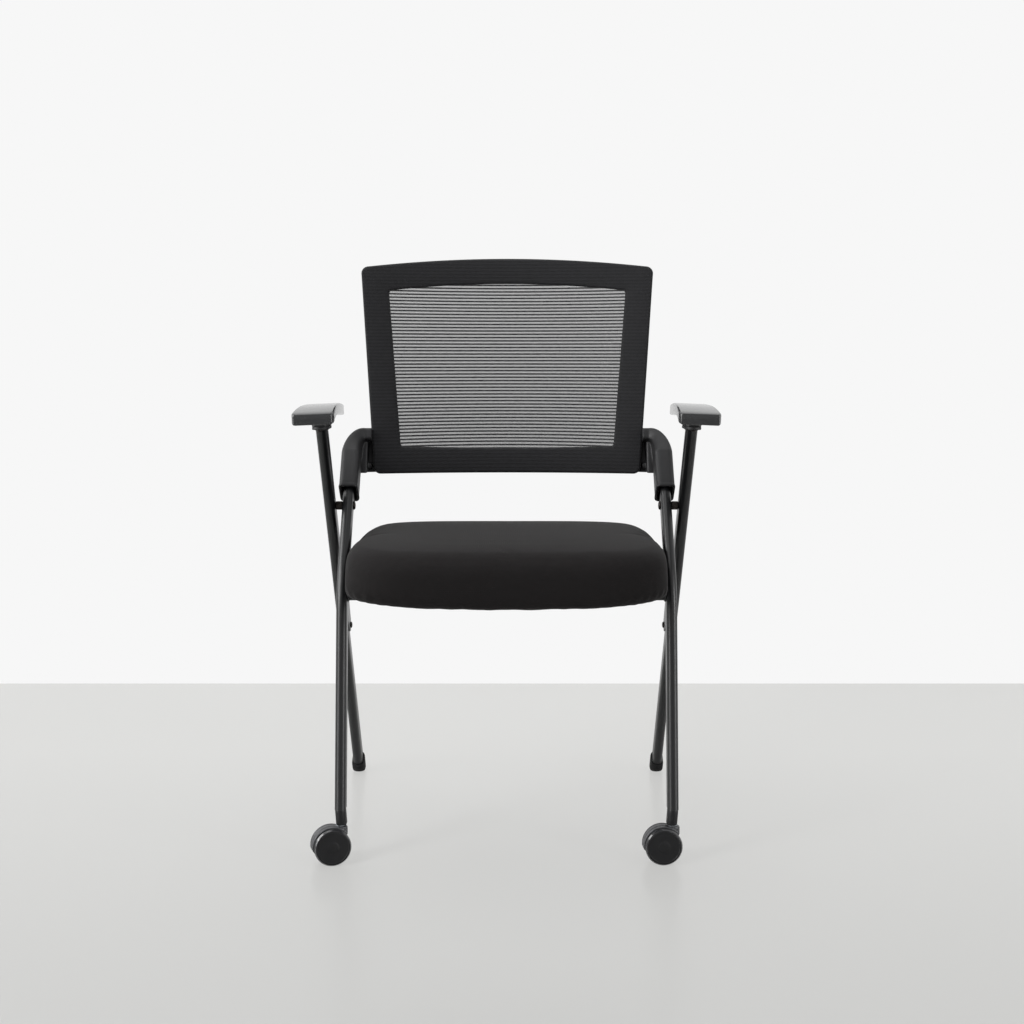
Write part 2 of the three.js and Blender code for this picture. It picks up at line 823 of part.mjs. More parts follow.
function sleeveRings(sign) {
  const across = new THREE.Vector3(sign, 0, 0);
  const rings = [];
  const straight = [
    { at: sleeve_start, grow: sleeve_lip_size },
    { at: sleeve_start + sleeve_lip, grow: sleeve_lip_size },
    { at: sleeve_start + sleeve_lip + clearance, grow: 0 },
    { at: sleeve_start + sleeve_straight, grow: 0 },
  ];
  for (const { at, grow } of straight) {
    const width = sleeve_width + grow;
    const depth = sleeve_depth + grow;
    rings.push(roundedRing(postPoint(sign, at), across, post_normal, width, depth, sleeve_width / 4));
  }
  const start = postPoint(sign, post_above_pivot);
  const end = new THREE.Vector3(sign * band_turn_half, band_end_y, band_end_z);
  const back_up = new THREE.Vector3(0, back_lean_run, back_height).normalize();
  for (let step = 0; step <= elbow_steps; step += 1) {
    const share = step / elbow_steps;
    const angle = share * (Math.PI / 2);
    const up = post_direction.clone().lerp(back_up, share).normalize();
    const back = new THREE.Vector3(0, up.z, -up.y);
    const centre = start.clone().lerp(end, Math.sin(angle));
    centre.x = start.x + (end.x - start.x) * (1 - Math.cos(angle));
    const out = across.clone().multiplyScalar(Math.cos(angle)).addScaledVector(up, Math.sin(angle));
    const width = sleeve_width + (band_height - sleeve_width) * share;
    const depth = sleeve_depth + (band_depth - sleeve_depth) * share;
    rings.push(roundedRing(centre, out, back, width, depth, width / 4));
  }
  const frame_half = halfAt(web_top, back_bottom, back_bottom_half, back_corner_top, back_top_half);
  const tip = end.clone();
  tip.x = sign * (frame_half + band_gap);
  const back_normal = new THREE.Vector3(0, back_up.z, -back_up.y);
  rings.push(roundedRing(tip, back_up, back_normal, band_height, band_depth, band_height / 4));
  return rings;
}

function backSupport(sign) {
  const sleeve = solidOf(skinRings(sleeveRings(sign)));
  const setback = back_thickness + clearance;
  const web_width = front_half_spacing - back_bottom_half + web_reach;
  const web_middle = front_half_spacing - web_width / 2;
  const plate = new THREE.BoxGeometry(web_width, web_height, web_thickness, web_steps);
  plate.translate(sign * web_middle, web_bottom + web_height / 2, web_thickness / 2);
  bendToBack(plate, setback + web_thickness);
  const block_side = sign * (front_half_spacing - web_block_reach);
  const post_middle = sign * front_half_spacing;
  const block_front = back_front_y + web_block_behind;
  const block = box(block_side, post_middle, block_front, band_end_y, web_bottom, web_top);
  const boss_half = back_bottom_half + boss_offset;
  const boss_z = web_bottom + boss_rise;
  const boss_y = backSurfaceY(boss_half, boss_z) + setback;
  const boss_end = boss_y + web_thickness / 2;
  const boss = rodY(boss_diameter, sign * boss_half, boss_y - boss_height, boss_end, boss_z);
  const pocket_ends = [postPoint(sign, 0), postPoint(sign, post_above_pivot + clearance)];
  const pocket = ovalTube(pocket_ends, tube_width + 2 * clearance, tube_depth + 2 * clearance);
  const moulding = sleeve.add(solidOf(plate)).add(solidOf(block)).add(solidOf(boss));
  let solid = without(moulding, pocket);
  for (const z of [back_screw_low, back_screw_high]) {
    const x = sign * back_screw_half;
    const seat = backScrewSeat(x, z);
    const hole_start = seat - web_thickness - overrun;
    const hole = rodY(back_screw_diameter + 2 * clearance, x, hole_start, seat + overrun, z);
    const recess = rodY(back_screw_head + 2 * clearance, x, seat - clearance, seat + 2 * overrun, z);
    solid = without(solid, hole, recess);
  }
  return solid;
}

function backScrewSeat(x, z) {
  return backSurfaceY(x, z) + back_thickness + clearance + web_thickness - back_screw_recess;
}

function backScrew(sign, z) {
  const x = sign * back_screw_half;
  const rear = backSurfaceY(x, z) + back_thickness;
  const seat = backScrewSeat(x, z);
  const head = rodY(back_screw_head, x, seat, seat + back_screw_head_height, z);
  const buried = seat + back_screw_head_height / 2;
  const shank = rodY(back_screw_diameter, x, rear - back_screw_bite, buried, z);
  return solidOf(head).add(solidOf(shank));
}

// Arm bracket: plug in the tube, collar round it and a flange under the pad

const flange_bottom = arm_tube_top + clearance;
const flange_top = flange_bottom + flange_thickness;
const pad_crest = flange_top + pad_rise;
const pad_front_y = rearPoint(1, flange_bottom).y - pad_ahead;
const pad_half = rearPoint(1, flange_bottom).x - pad_inset;

function armScrewHole(sign, offset, low, high) {
  const top = rearPoint(sign, flange_bottom);
  return rodZ(arm_screw_diameter + 2 * clearance, top.x, top.y + offset, low, high);
}

function armBracket(sign) {
  const top = rearPoint(sign, flange_bottom);
  const flange_shape = ovalPath(new THREE.Shape(), flange_width, flange_length);
  const flange = new THREE.ExtrudeGeometry(flange_shape, {
    depth: flange_thickness,
    bevelEnabled: false,
    curveSegments: oval_segments,
  });
  flange.translate(top.x, top.y, flange_bottom);
  const ends = [
    rearPoint(sign, flange_bottom - flange_length),
    rearPoint(sign, flange_bottom + flange_length),
  ];
  const wide = 2 * (clearance + flange_collar_wall);
  const collar_low = flange_bottom - flange_collar_height;
  const plug_low = flange_bottom - arm_plug_length;
  const middle = flange_bottom + flange_thickness / 2;
  const collar_zone = boxRound(top, flange_length, collar_low, middle);
  const plug_zone = boxRound(top, flange_length, plug_low, middle);
  const under = boxRound(top, flange_length, plug_low, flange_bottom);
  const collar = solidOf(ovalTube(ends, tube_width + wide, tube_depth + wide));
  const tube = solidOf(ovalTube(ends, tube_width + 2 * clearance, tube_depth + 2 * clearance));
  const plug = solidOf(ovalTube(ends, bore_width - 2 * clearance, bore_depth - 2 * clearance));
  const skirt = solidOf(flange).add(collar.intersect(solidOf(collar_zone)));
  const hollow = skirt.subtract(tube.intersect(solidOf(under)));
  const solid = hollow.add(plug.intersect(solidOf(plug_zone)));
  const holes = [-arm_screw_offset, arm_screw_offset].map((offset) => (
    armScrewHole(sign, offset, collar_low, flange_top + overrun)));
  return without(solid, ...holes);
}

function armScrew(sign, offset) {
  const top = rearPoint(sign, flange_bottom);
  const seat = flange_bottom - clearance;
  const y = top.y + offset;
  const buried = seat - arm_screw_head_height / 2;
  const head = rodZ(arm_screw_head, top.x, y, seat - arm_screw_head_height, seat);
  const shank = rodZ(arm_screw_diameter, top.x, y, buried, flange_top + arm_screw_bite);
  return solidOf(head).add(solidOf(shank));
}

// Arched arm pad, wider in front, with a boss down to the flange

function padTop(share) {
  const crest_share = 0.36;
  const ahead = Math.max(crest_share - share, 0) / crest_share;
  const behind = Math.max(share - crest_share, 0) / (1 - crest_share);
  return pad_crest - pad_front_drop * ahead * ahead - pad_rear_drop * behind * behind;
}

function armPad(sign) {
  const across = new THREE.Vector3(sign * pad_front_width, 0, -pad_roll).normalize();
  const up = new THREE.Vector3(sign * pad_roll, 0, pad_front_width).normalize();
  const station_shares = [0, 0.012, 0.04, 0.12, 0.24, 0.36, 0.5, 0.64, 0.78, 0.9, 0.96, 0.988, 1];
  const rings = station_shares.map((share) => {
    const end = Math.min(share, 1 - share) * pad_length;
    const soft = Math.max(1 - end / pad_end_run, 0) ** 2;
    const full_width = pad_front_width + (pad_rear_width - pad_front_width) * share;
    const width = full_width - pad_end_narrowing * soft;
    const thickness = pad_thickness - pad_end_thinning * soft;
    const y = pad_front_y + pad_length * share;
    const centre = new THREE.Vector3(sign * pad_half, y, padTop(share) - pad_thickness / 2);
    return roundedRing(centre, across, up, width, thickness, pad_round);
  });
  const plate = solidOf(skinRings(rings));
  const top = rearPoint(sign, flange_bottom);
  const boss_top = pad_crest - pad_thickness / 2 - pad_round;
  const half_width = pad_boss_width / 2;
  const half_length = pad_boss_length / 2;
  const boss = box(top.x - half_width, top.x + half_width, top.y - half_length, top.y + half_length,
    flange_top + clearance, boss_top);
  const holes = [-arm_screw_offset, arm_screw_offset].map((offset) => (
    armScrewHole(sign, offset, flange_bottom, flange_top + arm_screw_bite + clearance)));
  return without(plate.add(solidOf(boss)), ...holes);
}

// The seat rests on the front cross tube, between the front tubes

const seat_bottom = front_cross_z + cross_tube_diameter / 2 + rest_pad_thickness;
const seat_front_y = front_cross_y - seat_overhang;
const seat_rear_y = seat_front_y + seat_length;
const seat_widest_y = seat_front_y + seat_widest_run;
const seat_half_width = front_half_spacing - tube_width / 2 - seat_side_gap;

// The seat outline in plan, a soft square that narrows to the rear

function seatOutline(inset) {
  const length = seat_rear_y - seat_front_y;
  const middle = (seat_rear_y + seat_front_y) / 2;
  const squareness_share = 0.385;
  const narrowing_curve_share = 1.4;
  const squared = (value) => Math.sign(value) * Math.abs(value) ** squareness_share;
  const ring = [];
  for (let spot = 0; spot < cushion_segments; spot += 1) {
    const angle = ((2 * spot + 1) / cushion_segments) * Math.PI;
    const y = middle + squared(Math.sin(angle)) * (length / 2 - inset);
    const behind = Math.max(y - seat_widest_y, 0) / (seat_rear_y - seat_widest_y);
    const half = seat_half_width - seat_rear_narrowing * behind ** narrowing_curve_share - inset;
    ring.push([squared(Math.cos(angle)) * half, y]);
  }
  return ring;
}

// Cushion with drawn-in sides, a soft shoulder and a crowned top

function seatCushion() {
  const bottom = seat_bottom + base_thickness + clearance;
  const height = cushion_thickness - clearance;
  const side_shares = [[0, 1], [0.05, 0.45], [0.15, 0.1], [0.3, 0], [0.45, 0.02]];
  const levels = side_shares.map(([rise, draw]) => ({ rise, inset: cushion_bottom_inset * draw }));
  const shoulder_low_share = 0.5;
  const shoulder_top_share = 0.95;
  for (let step = 1; step <= shoulder_steps; step += 1) {
    const angle = (step / shoulder_steps) * (Math.PI / 2);
    const rise = shoulder_low_share + (shoulder_top_share - shoulder_low_share) * Math.sin(angle);
    levels.push({ rise, inset: cushion_shoulder * (1 - Math.cos(angle)) });
  }
  const crown_shares = [[0.2, 0.985], [0.45, 0.997]];
  for (const [reach, rise] of crown_shares) {
    levels.push({ rise, inset: cushion_shoulder + (seat_half_width - cushion_shoulder) * reach });
  }
  return skinRings(levels.map(({ rise, inset }) => seatOutline(inset).map(([x, y]) => {
    const lift = Math.max(2 * rise - 1, 0);
    const ahead = Math.max(front_cross_y - y, 0) / (front_cross_y - seat_front_y);
    const behind = Math.max(y - seat_hinge_y, 0) / (seat_rear_y - seat_hinge_y);
    const drop = cushion_front_drop * ahead * ahead + cushion_rear_drop * behind * behind;
    return new THREE.Vector3(x, y, bottom + height * rise - drop * lift);
  })));
}

function seatBase() {
  const bottom_round = base_thickness / 2;
  const levels = [
    { z: seat_bottom, inset: base_inset + bottom_round },
    { z: seat_bottom + bottom_round, inset: base_inset },
    { z: seat_bottom + base_thickness, inset: base_inset },
  ];
  return skinRings(levels.map(({ z, inset }) => (
    seatOutline(inset).map(([x, y]) => new THREE.Vector3(x, y, z)))));
}

function hingeClamp(sign) {
  const x = sign * clamp_half;
  const bottom = seat_hinge_z - clamp_floor;
  const front = seat_hinge_y - clamp_length / 2;
  const rear = seat_hinge_y + clamp_length / 2;
  const body = box(x - clamp_width / 2, x + clamp_width / 2, front, rear, bottom, seat_bottom - clearance);
  const hole_diameter = cross_tube_diameter + 2 * clearance;
  const near = x - clamp_width;
  const far = x + clamp_width;
  const hole = rodX(hole_diameter, near, far, seat_hinge_y, seat_hinge_z, round_segments);
  return without(solidOf(body), hole);
}

function restPad(sign) {
  const x = sign * rest_pad_half;
  const low = front_cross_z + cross_tube_diameter / 2 + clearance;
  const front = front_cross_y - rest_pad_length / 2;
  const rear = front_cross_y + rest_pad_length / 2;
  return box(x - rest_pad_width / 2, x + rest_pad_width / 2, front, rear, low, seat_bottom - clearance);
}

// Twin-wheel caster about its stem, which stands at the origin of the group

const wheel_radius = wheel_diameter / 2;
const tread_radius = wheel_radius - wheel_step;
const hood_half_width = wheel_gap / 2 + wheel_width - wheel_flange - hood_gap;

function casterWheel(sign) {
  const inner = wheel_gap / 2;
  const outer = inner + wheel_width;
  const bore = axle_diameter / 2 + clearance;
  const corners = [
    [0, inner + axle_bite + clearance],
    [bore, inner + axle_bite + clearance],
    [bore, inner],
    [tread_radius, inner],
    [tread_radius, outer - wheel_flange],
    [wheel_radius, outer - wheel_flange + wheel_bevel / 2],
    [wheel_radius, outer - wheel_bevel],
    [wheel_radius - wheel_bevel, outer],
    [wheel_radius - 2 * wheel_bevel, outer - wheel_dish],
    [0, outer - wheel_dish / 2],
  ];
  const profile = corners.map(([r, h]) => new THREE.Vector2(r, h));
  const geometry = new THREE.LatheGeometry(profile, wheel_segments);
  if (sign < 0) {
    geometry.rotateX(Math.PI);
  }
  return geometry.translate(-caster_trail, 0, wheel_radius);
}

function casterAxle() {
  const half = wheel_gap / 2 + axle_bite;
  return rodY(axle_diameter, -caster_trail, -half, half, wheel_radius);
}

// A slice of a disc round the axle, between two angles

function hoodSlice(radius, from, to, half) {
  const shape = new THREE.Shape();
  shape.absarc(0, 0, radius, from, to, false);
  shape.lineTo(0, 0);
  shape.closePath();
  const geometry = new THREE.ExtrudeGeometry(shape, {
    depth: 2 * half,
    bevelEnabled: false,
    curveSegments: small_segments,
  });
  return geometry.rotateX(Math.PI / 2).translate(-caster_trail, half, wheel_radius);
}

function casterHood() {
  const inner = tread_radius + hood_gap;
  const start_angle = THREE.MathUtils.degToRad(hood_start_angle);
  const end_angle = THREE.MathUtils.degToRad(hood_end_angle);
  const cover = hoodSlice(inner + hood_shell, start_angle, end_angle, hood_half_width);
  const half = hood_thickness / 2;
  const hub = rodY(2 * axle_diameter, -caster_trail, -half, half, wheel_radius);
  const neck = rodZ(hood_neck_diameter, 0, 0, wheel_radius, hood_neck_top, round_segments);
  const wheels = new THREE.CylinderGeometry(inner, inner, wheel_diameter, wheel_segments);
  wheels.translate(-caster_trail, 0, wheel_radius);
  const fin_zone = box(-wheel_diameter, wheel_diameter, -half, half, 0, hood_neck_top);
  const room = without(solidOf(wheels), fin_zone);
  const hole_low = hood_neck_top - stem_diameter * 2;
  const above = hood_neck_top + overrun;
  const hole = rodZ(stem_diameter + 2 * clearance, 0, 0, hole_low, above, round_segments);
  const seat = rodZ(stem_collar_diameter + 2 * clearance, 0, 0, hood_neck_top, above, round_segments);
  const bore = rodY(axle_diameter + 2 * clearance, -caster_trail, -wheel_width, wheel_width, wheel_radius);
  const whole = solidOf(cover).add(solidOf(neck)).subtract(room).add(solidOf(hub));
  return without(whole, bore, hole, seat);
}

function casterStem() {
  const bottom = hood_neck_top - stem_diameter * 2 + clearance;
  const pin = rodZ(stem_diameter, 0, 0, bottom, stem_top, round_segments);
  const collar_low = hood_neck_top + clearance;
  const collar_high = collar_low + stem_collar_height;
  const collar = rodZ(stem_collar_diameter, 0, 0, collar_low, collar_high, round_segments);
  return solidOf(pin).add(solidOf(collar));
}

function addCaster({ name, sign, turn }) {
  const swivel = new THREE.Group();
  swivel.position.set(sign * front_half_spacing, 0, 0);
  swivel.rotation.z = THREE.MathUtils.degToRad(turn);
  chair.add(swivel);
  addPiece(`${name}_caster_hood`, casterHood(), black_plastic, swivel);
  addPiece(`${name}_caster_stem`, casterStem(), zinc_steel, swivel);
  addPiece(`${name}_caster_axle`, casterAxle(), zinc_steel, swivel);
  addPiece(`${name}_front_wheel`, casterWheel(-1), black_plastic, swivel);
  addPiece(`${name}_back_wheel`, casterWheel(1), black_plastic, swivel);
}

// The front frame, with the posts, the back and the casters

const front_cross_half = front_half_spacing - tube_width / 2 - clearance;
addPiece('front_cross_tube', crossTube(front_cross_half, front_cross_y, front_cross_z), black_tube);
addPiece('back_frame', backFrame(), black_plastic);
addPiece('back_mesh', backMesh(), back_mesh_fabric);
for (const side of sides) {
  const { name, sign } = side;
  addPiece(`${name}_front_tube`, frontTube(sign), black_tube);
  addPiece(`${name}_caster_socket`, casterSocket(sign), black_plastic);
  addPiece(`${name}_back_support`, backSupport(sign), black_plastic);
  addPiece(`${name}_back_screw_low`, backScrew(sign, back_screw_low), black_steel);
  addPiece(`${name}_back_screw_high`, backScrew(sign, back_screw_high), black_steel);
  addPiece(`${name}_pivot_bolt`, pivotBolt(sign), black_steel);
  addPiece(`${name}_pivot_spacer`, pivotSpacer(sign), zinc_steel);
  addCaster(side);
}

// The rear frame, with the arms

const rear_cross_half = bracket_inner_half - clearance;
addPiece('rear_cross_tube', crossTube(rear_cross_half, seat_hinge_y, seat_hinge_z), black_tube);
for (const { name, sign } of sides) {
  addPiece(`${name}_rear_tube`, rearTube(sign), black_tube);
  addPiece(`${name}_pivot_nut`, pivotNut(sign), zinc_steel);
  addPiece(`${name}_foot_cap`, footCap(sign), dark_rubber);
  addPiece(`${name}_bracket_plate`, bracketPlate(sign), black_tube);
  addPiece(`${name}_bracket_bolt_low`, bracketBolt(sign, bracket_low_z), black_steel);
  addPiece(`${name}_bracket_bolt_high`, bracketBolt(sign, bracket_high_z), black_steel);
  addPiece(`${name}_arm_bracket`, armBracket(sign), black_plastic);
  addPiece(`${name}_arm_pad`, armPad(sign), grey_pad);
  addPiece(`${name}_arm_screw_front`, armScrew(sign, -arm_screw_offset), black_steel);
  addPiece(`${name}_arm_screw_rear`, armScrew(sign, arm_screw_offset), black_steel);
}

// The seat

addPiece('seat_cushion', seatCushion(), seat_fabric);
addPiece('seat_base', seatBase(), black_plastic);
for (const { name, sign } of sides) {
  addPiece(`${name}_hinge_clamp`, hingeClamp(sign), black_plastic);
  addPiece(`${name}_rest_pad`, restPad(sign), dark_rubber);
}

// The middle of the chair's length moves over the origin

const reach = new THREE.Box3().setFromObject(chair, true);
for (const piece of chair.children) {
  piece.position.y = -(reach.min.y + reach.max.y) / 2;
}

export default chair;
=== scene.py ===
# Nesting chair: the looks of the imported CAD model, set up as in its photograph
# Lengths are in millimetres until a mesh takes them; +Z is up and the sitter faces -Y

import math

import bmesh
import bpy
from mathutils import Matrix, Vector


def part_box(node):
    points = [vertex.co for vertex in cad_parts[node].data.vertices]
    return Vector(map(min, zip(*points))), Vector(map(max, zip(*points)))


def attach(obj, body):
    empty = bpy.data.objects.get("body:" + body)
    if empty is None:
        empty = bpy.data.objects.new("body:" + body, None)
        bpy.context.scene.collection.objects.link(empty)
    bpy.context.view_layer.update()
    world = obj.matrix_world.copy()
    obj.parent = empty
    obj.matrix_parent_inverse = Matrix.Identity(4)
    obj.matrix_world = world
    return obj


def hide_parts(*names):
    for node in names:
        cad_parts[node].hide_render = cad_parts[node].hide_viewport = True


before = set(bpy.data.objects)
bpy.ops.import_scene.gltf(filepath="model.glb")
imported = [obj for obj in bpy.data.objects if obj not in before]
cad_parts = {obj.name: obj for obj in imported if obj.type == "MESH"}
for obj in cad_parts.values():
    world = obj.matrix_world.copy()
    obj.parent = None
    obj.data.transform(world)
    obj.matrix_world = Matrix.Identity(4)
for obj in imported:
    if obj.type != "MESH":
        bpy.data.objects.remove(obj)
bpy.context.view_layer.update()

MM = 0.001
RIGHT = Vector((1, 0, 0))
BACKWARD = Vector((0, 1, 0))
UP = Vector((0, 0, 1))
SIDES = (("left", -1), ("right", 1))

# The chair's lines, as its CAD has them

clearance = 0.3
tube_width = 15.6
tube_depth = 30.0
front_half = 235.9
front_inner_half = 227.8
front_outer_half = 244.0
stem_y = -189.715
leg_end = 78
post_end = 98
pivot = Vector((0, -39.715, 495))
bend = Vector((0, -130.715, 388))
front_foot = Vector((0, -187.715, 68))
post_way = (pivot - bend).normalized()
post_back = Vector((0, post_way.z, -post_way.y))
leg_way = (bend - front_foot).normalized()
front_cross_z = 376
rear_cross = Vector((0, -11.715, 374))
cross_radius = 8
rear_inner_half = 248.4
rear_foot_half = 256.3
rear_foot_y = 288.285
rear_spread = 6.0
rear_slope = -328.0 / pivot.z
arm_tube_top = 613.0
flange_low = 613.3
back_low = 535.25
back_high = 855.25
back_front_y = 25.285
back_lean = 116.6 / 320
back_bow = 40
back_low_half = 203.7
back_high_half = 231.1
window_low = 575.45
window_high = 817.95
window_low_half = 164.5
window_high_half = 187.4
window_crown = 10.5
window_sag = 3
back_thickness = 14.0
rib_pitch = 5.18
seat_front = -309.64
seat_rear = 125.36
seat_half = 221.0
seat_middle_y = -92


def post_point(side, distance):
    return pivot + post_way * distance + RIGHT * side * front_half


def leg_point(side, z):
    return front_foot + leg_way * ((z - front_foot.z) / leg_way.z) + RIGHT * side * front_half


def rear_point(side, z):
    return Vector((side * (rear_foot_half + rear_spread * z / pivot.z), rear_foot_y + rear_slope * z, z))


def back_y(x, z):
    """Front face of the back, which leans away and bows"""
    return back_front_y + (z - back_low) * back_lean + back_bow * (1 - (x / back_high_half) ** 2)


def half_at(z, low, low_half, high, high_half):
    return low_half + (high_half - low_half) * (z - low) / (high - low)


# Work at the mesh


def only(*pieces):
    bpy.ops.object.select_all(action="DESELECT")
    for piece in pieces:
        piece.select_set(True)
    bpy.context.view_layer.objects.active = pieces[-1]


def added(name, operator, **settings):
    bpy.ops.object.select_all(action="DESELECT")
    operator(**settings)
    piece = bpy.context.object
    piece.name = name
    only(piece)
    bpy.ops.object.transform_apply(location=True, rotation=True, scale=True)
    return piece


def spot(place):
    return tuple(round(part, 7) for part in place)


def lofted(name, rings, looped=False):
    """A ring is extruded from station to station, and each new ring is set to its place"""
    sides = len(rings[0])
    piece = added(name, bpy.ops.mesh.primitive_circle_add, vertices=sides, radius=MM)
    bpy.ops.object.mode_set(mode="EDIT")
    mesh = bmesh.from_edit_mesh(piece.data)
    where = {}
    for index, vertex in enumerate(mesh.verts):
        vertex.co = rings[0][index] * MM
        where[spot(vertex.co)] = index
    for ring in rings[1:]:
        bpy.ops.mesh.extrude_edges_indiv()
        mesh = bmesh.from_edit_mesh(piece.data)
        moved = {}
        for vertex in mesh.verts:
            if vertex.select:
                index = where[spot(vertex.co)]
                vertex.co = ring[index] * MM
                moved[spot(vertex.co)] = index
        where = moved
    if not looped:
        bpy.ops.mesh.edge_face_add()
        bpy.ops.mesh.select_all(action="DESELECT")
    mesh = bmesh.from_edit_mesh(piece.data)
    mesh.verts.ensure_lookup_table()
    for vertex in mesh.verts[:sides]:
        vertex.select = True
    mesh.select_flush(True)
    if looped:
        bpy.ops.mesh.bridge_edge_loops()
    else:
        bpy.ops.mesh.edge_face_add()
    bpy.ops.mesh.select_all(action="SELECT")
    bpy.ops.mesh.normals_make_consistent(inside=False)
    bpy.ops.object.mode_set(mode="OBJECT")
    return piece


def worked(piece, kind, **settings):
    """A modifier is added and applied"""
    only(piece)
    modifier = piece.modifiers.new(kind, kind)
    for key, value in settings.items():
        setattr(modifier, key, value)
    bpy.ops.object.modifier_apply(modifier=modifier.name)
    return piece


def joined(name, *pieces):
    only(*pieces)
    bpy.ops.object.join()
    pieces[-1].name = name
    return pieces[-1]


def melted(piece, voxel, rounds, factor=0.5):
    """Joined forms flow into one skin with soft inner corners, as a moulding's do"""
    worked(piece, "REMESH", mode="VOXEL", voxel_size=voxel * MM, adaptivity=0)
    return worked(piece, "SMOOTH", factor=factor, iterations=rounds)


def broken_edges(piece, width, segments=2, angle=30):
    return worked(piece, "BEVEL", width=width * MM, segments=segments, limit_method="ANGLE",
                  angle_limit=math.radians(angle))


def duplicate(piece, name):
    twin = bpy.data.objects.new(name, piece.data.copy())
    bpy.context.scene.collection.objects.link(twin)
    return twin


def shaped(piece, place_of):
    """Each point goes where place_of puts it, in millimetres"""
    for vertex in piece.data.vertices:
        vertex.co = place_of(vertex.co / MM) * MM
    piece.data.update()
    return piece


def from_node(node, name, width, segments=2):
    """A CAD node's own form with its sharp edges broken"""
    piece = duplicate(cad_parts[node], name)
    piece.data.materials.clear()
    only(piece)
    bpy.ops.object.mode_set(mode="EDIT")
    bpy.ops.mesh.select_all(action="SELECT")
    bpy.ops.mesh.remove_doubles(threshold=0.00001)
    bpy.ops.mesh.dissolve_limited(angle_limit=math.radians(2))
    bpy.ops.object.mode_set(mode="OBJECT")
    return broken_edges(piece, width, segments)


def settled(piece, body, finish, slot, *nodes, angle=35):
    """The finished piece gets its shading, its finish, its body and the nodes that it stands for"""
    only(piece)
    bpy.ops.object.shade_smooth_by_angle(angle=math.radians(angle))
    piece.data.materials.clear()
    piece.data.materials.append(finish)
    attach(piece, body)
    if nodes:
        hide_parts(*nodes)
    return piece


# Sections that the lofts use


def stadium(centre, along, width, depth, across=RIGHT, steps=12):
    radius = width / 2
    reach = depth / 2 - radius
    ring = []
    for end in (1, -1):
        for step in range(steps + 1):
            angle = math.pi * (step / steps + (0 if end > 0 else 1))
            u = math.cos(angle) * radius
            v = math.sin(angle) * radius + end * reach
            ring.append(centre + across * u + along * v)
    return ring


def rounded(centre, across, along, width, depth, radius, steps=5):
    ring = []
    for quarter, (sx, sy) in enumerate(((1, 1), (-1, 1), (-1, -1), (1, -1))):
        for step in range(steps + 1):
            angle = (quarter + step / steps) * math.pi / 2
            u = sx * (width / 2 - radius) + math.cos(angle) * radius
            v = sy * (depth / 2 - radius) + math.sin(angle) * radius
            ring.append(centre + across * u + along * v)
    return ring


def flattened(ring, way, z):
    """The ring slides along the tube until it lies level"""
    return [place + way * ((z - place.z) / way.z) for place in ring]


def round_ring(centre, axis, radius, sides, corners=0):
    """A circle round an axis, or the outline of a regular polygon with as many points"""
    across = axis.orthogonal().normalized()
    along = axis.cross(across).normalized()
    ring = []
    for step in range(sides):
        angle = 2 * math.pi * step / sides
        reach = radius
        if corners:
            part = 2 * math.pi / corners
            reach = radius * math.cos(part / 2) / math.cos(angle % part - part / 2)
        ring.append(centre + across * math.cos(angle) * reach + along * math.sin(angle) * reach)
    return ring


def turned(name, base, axis, profile, sides=48):
    """A turned form: rings of (radius, height) stacked along an axis"""
    axis = axis.normalized()
    return lofted(name, [round_ring(base + axis * height, axis, radius, sides, *corners)
                         for radius, height, *corners in profile])


# Materials


def linear(colour):
    """An sRGB hex colour as Blender's linear values"""
    parts = [int(colour[place:place + 2], 16) / 255 for place in (1, 3, 5)]
    return [part / 12.92 if part <= 0.04045 else ((part + 0.055) / 1.055) ** 2.4 for part in parts] + [1]


def add_node(tree, kind, settings, links=()):
    """Adds a node, sets its fields or sockets, and links (output, input) pairs into it"""
    node = tree.nodes.new(kind)
    for key, value in settings.items():
        if isinstance(key, str) and hasattr(node, key):
            setattr(node, key, value)
        else:
            node.inputs[key].default_value = value
    for output, key in links:
        tree.links.new(output, node.inputs[key])
    return node


def started(name, shader):
    """A material with its shader, and the Object coordinates that its patterns read"""
    material = bpy.data.materials.new(name)
    material.use_nodes = True
    tree = material.node_tree
    tree.nodes.clear()
    surface = add_node(tree, "ShaderNodeBsdfPrincipled", shader)
    add_node(tree, "ShaderNodeOutputMaterial", {}, [(surface.outputs[0], "Surface")])
    coordinates = add_node(tree, "ShaderNodeTexCoord", {})
    return material, tree, surface, coordinates.outputs["Object"]


def coloured(tree, surface, factor, *stops):
    """A ramp of (place, hex colour) stops makes the base colour from a pattern"""
    ramp = add_node(tree, "ShaderNodeValToRGB", {}, [(factor, "Fac")])
    while len(ramp.color_ramp.elements) < len(stops):
        ramp.color_ramp.elements.new(0.5)
    for element, (place, colour) in zip(ramp.color_ramp.elements, stops):
        element.position = place
        element.color = linear(colour)
    tree.links.new(ramp.outputs["Color"], surface.inputs["Base Color"])


def roughened(tree, surface, factor, smooth, rough):
    spread = add_node(tree, "ShaderNodeMapRange", {"To Min": smooth, "To Max": rough},
                      [(factor, "Value")])
    tree.links.new(spread.outputs["Result"], surface.inputs["Roughness"])


def embossed(tree, surface, height, depth):
    bump = add_node(tree, "ShaderNodeBump", {"Distance": depth * MM, "Strength": 1.0},
                    [(height, "Height")])
    tree.links.new(bump.outputs["Normal"], surface.inputs["Normal"])


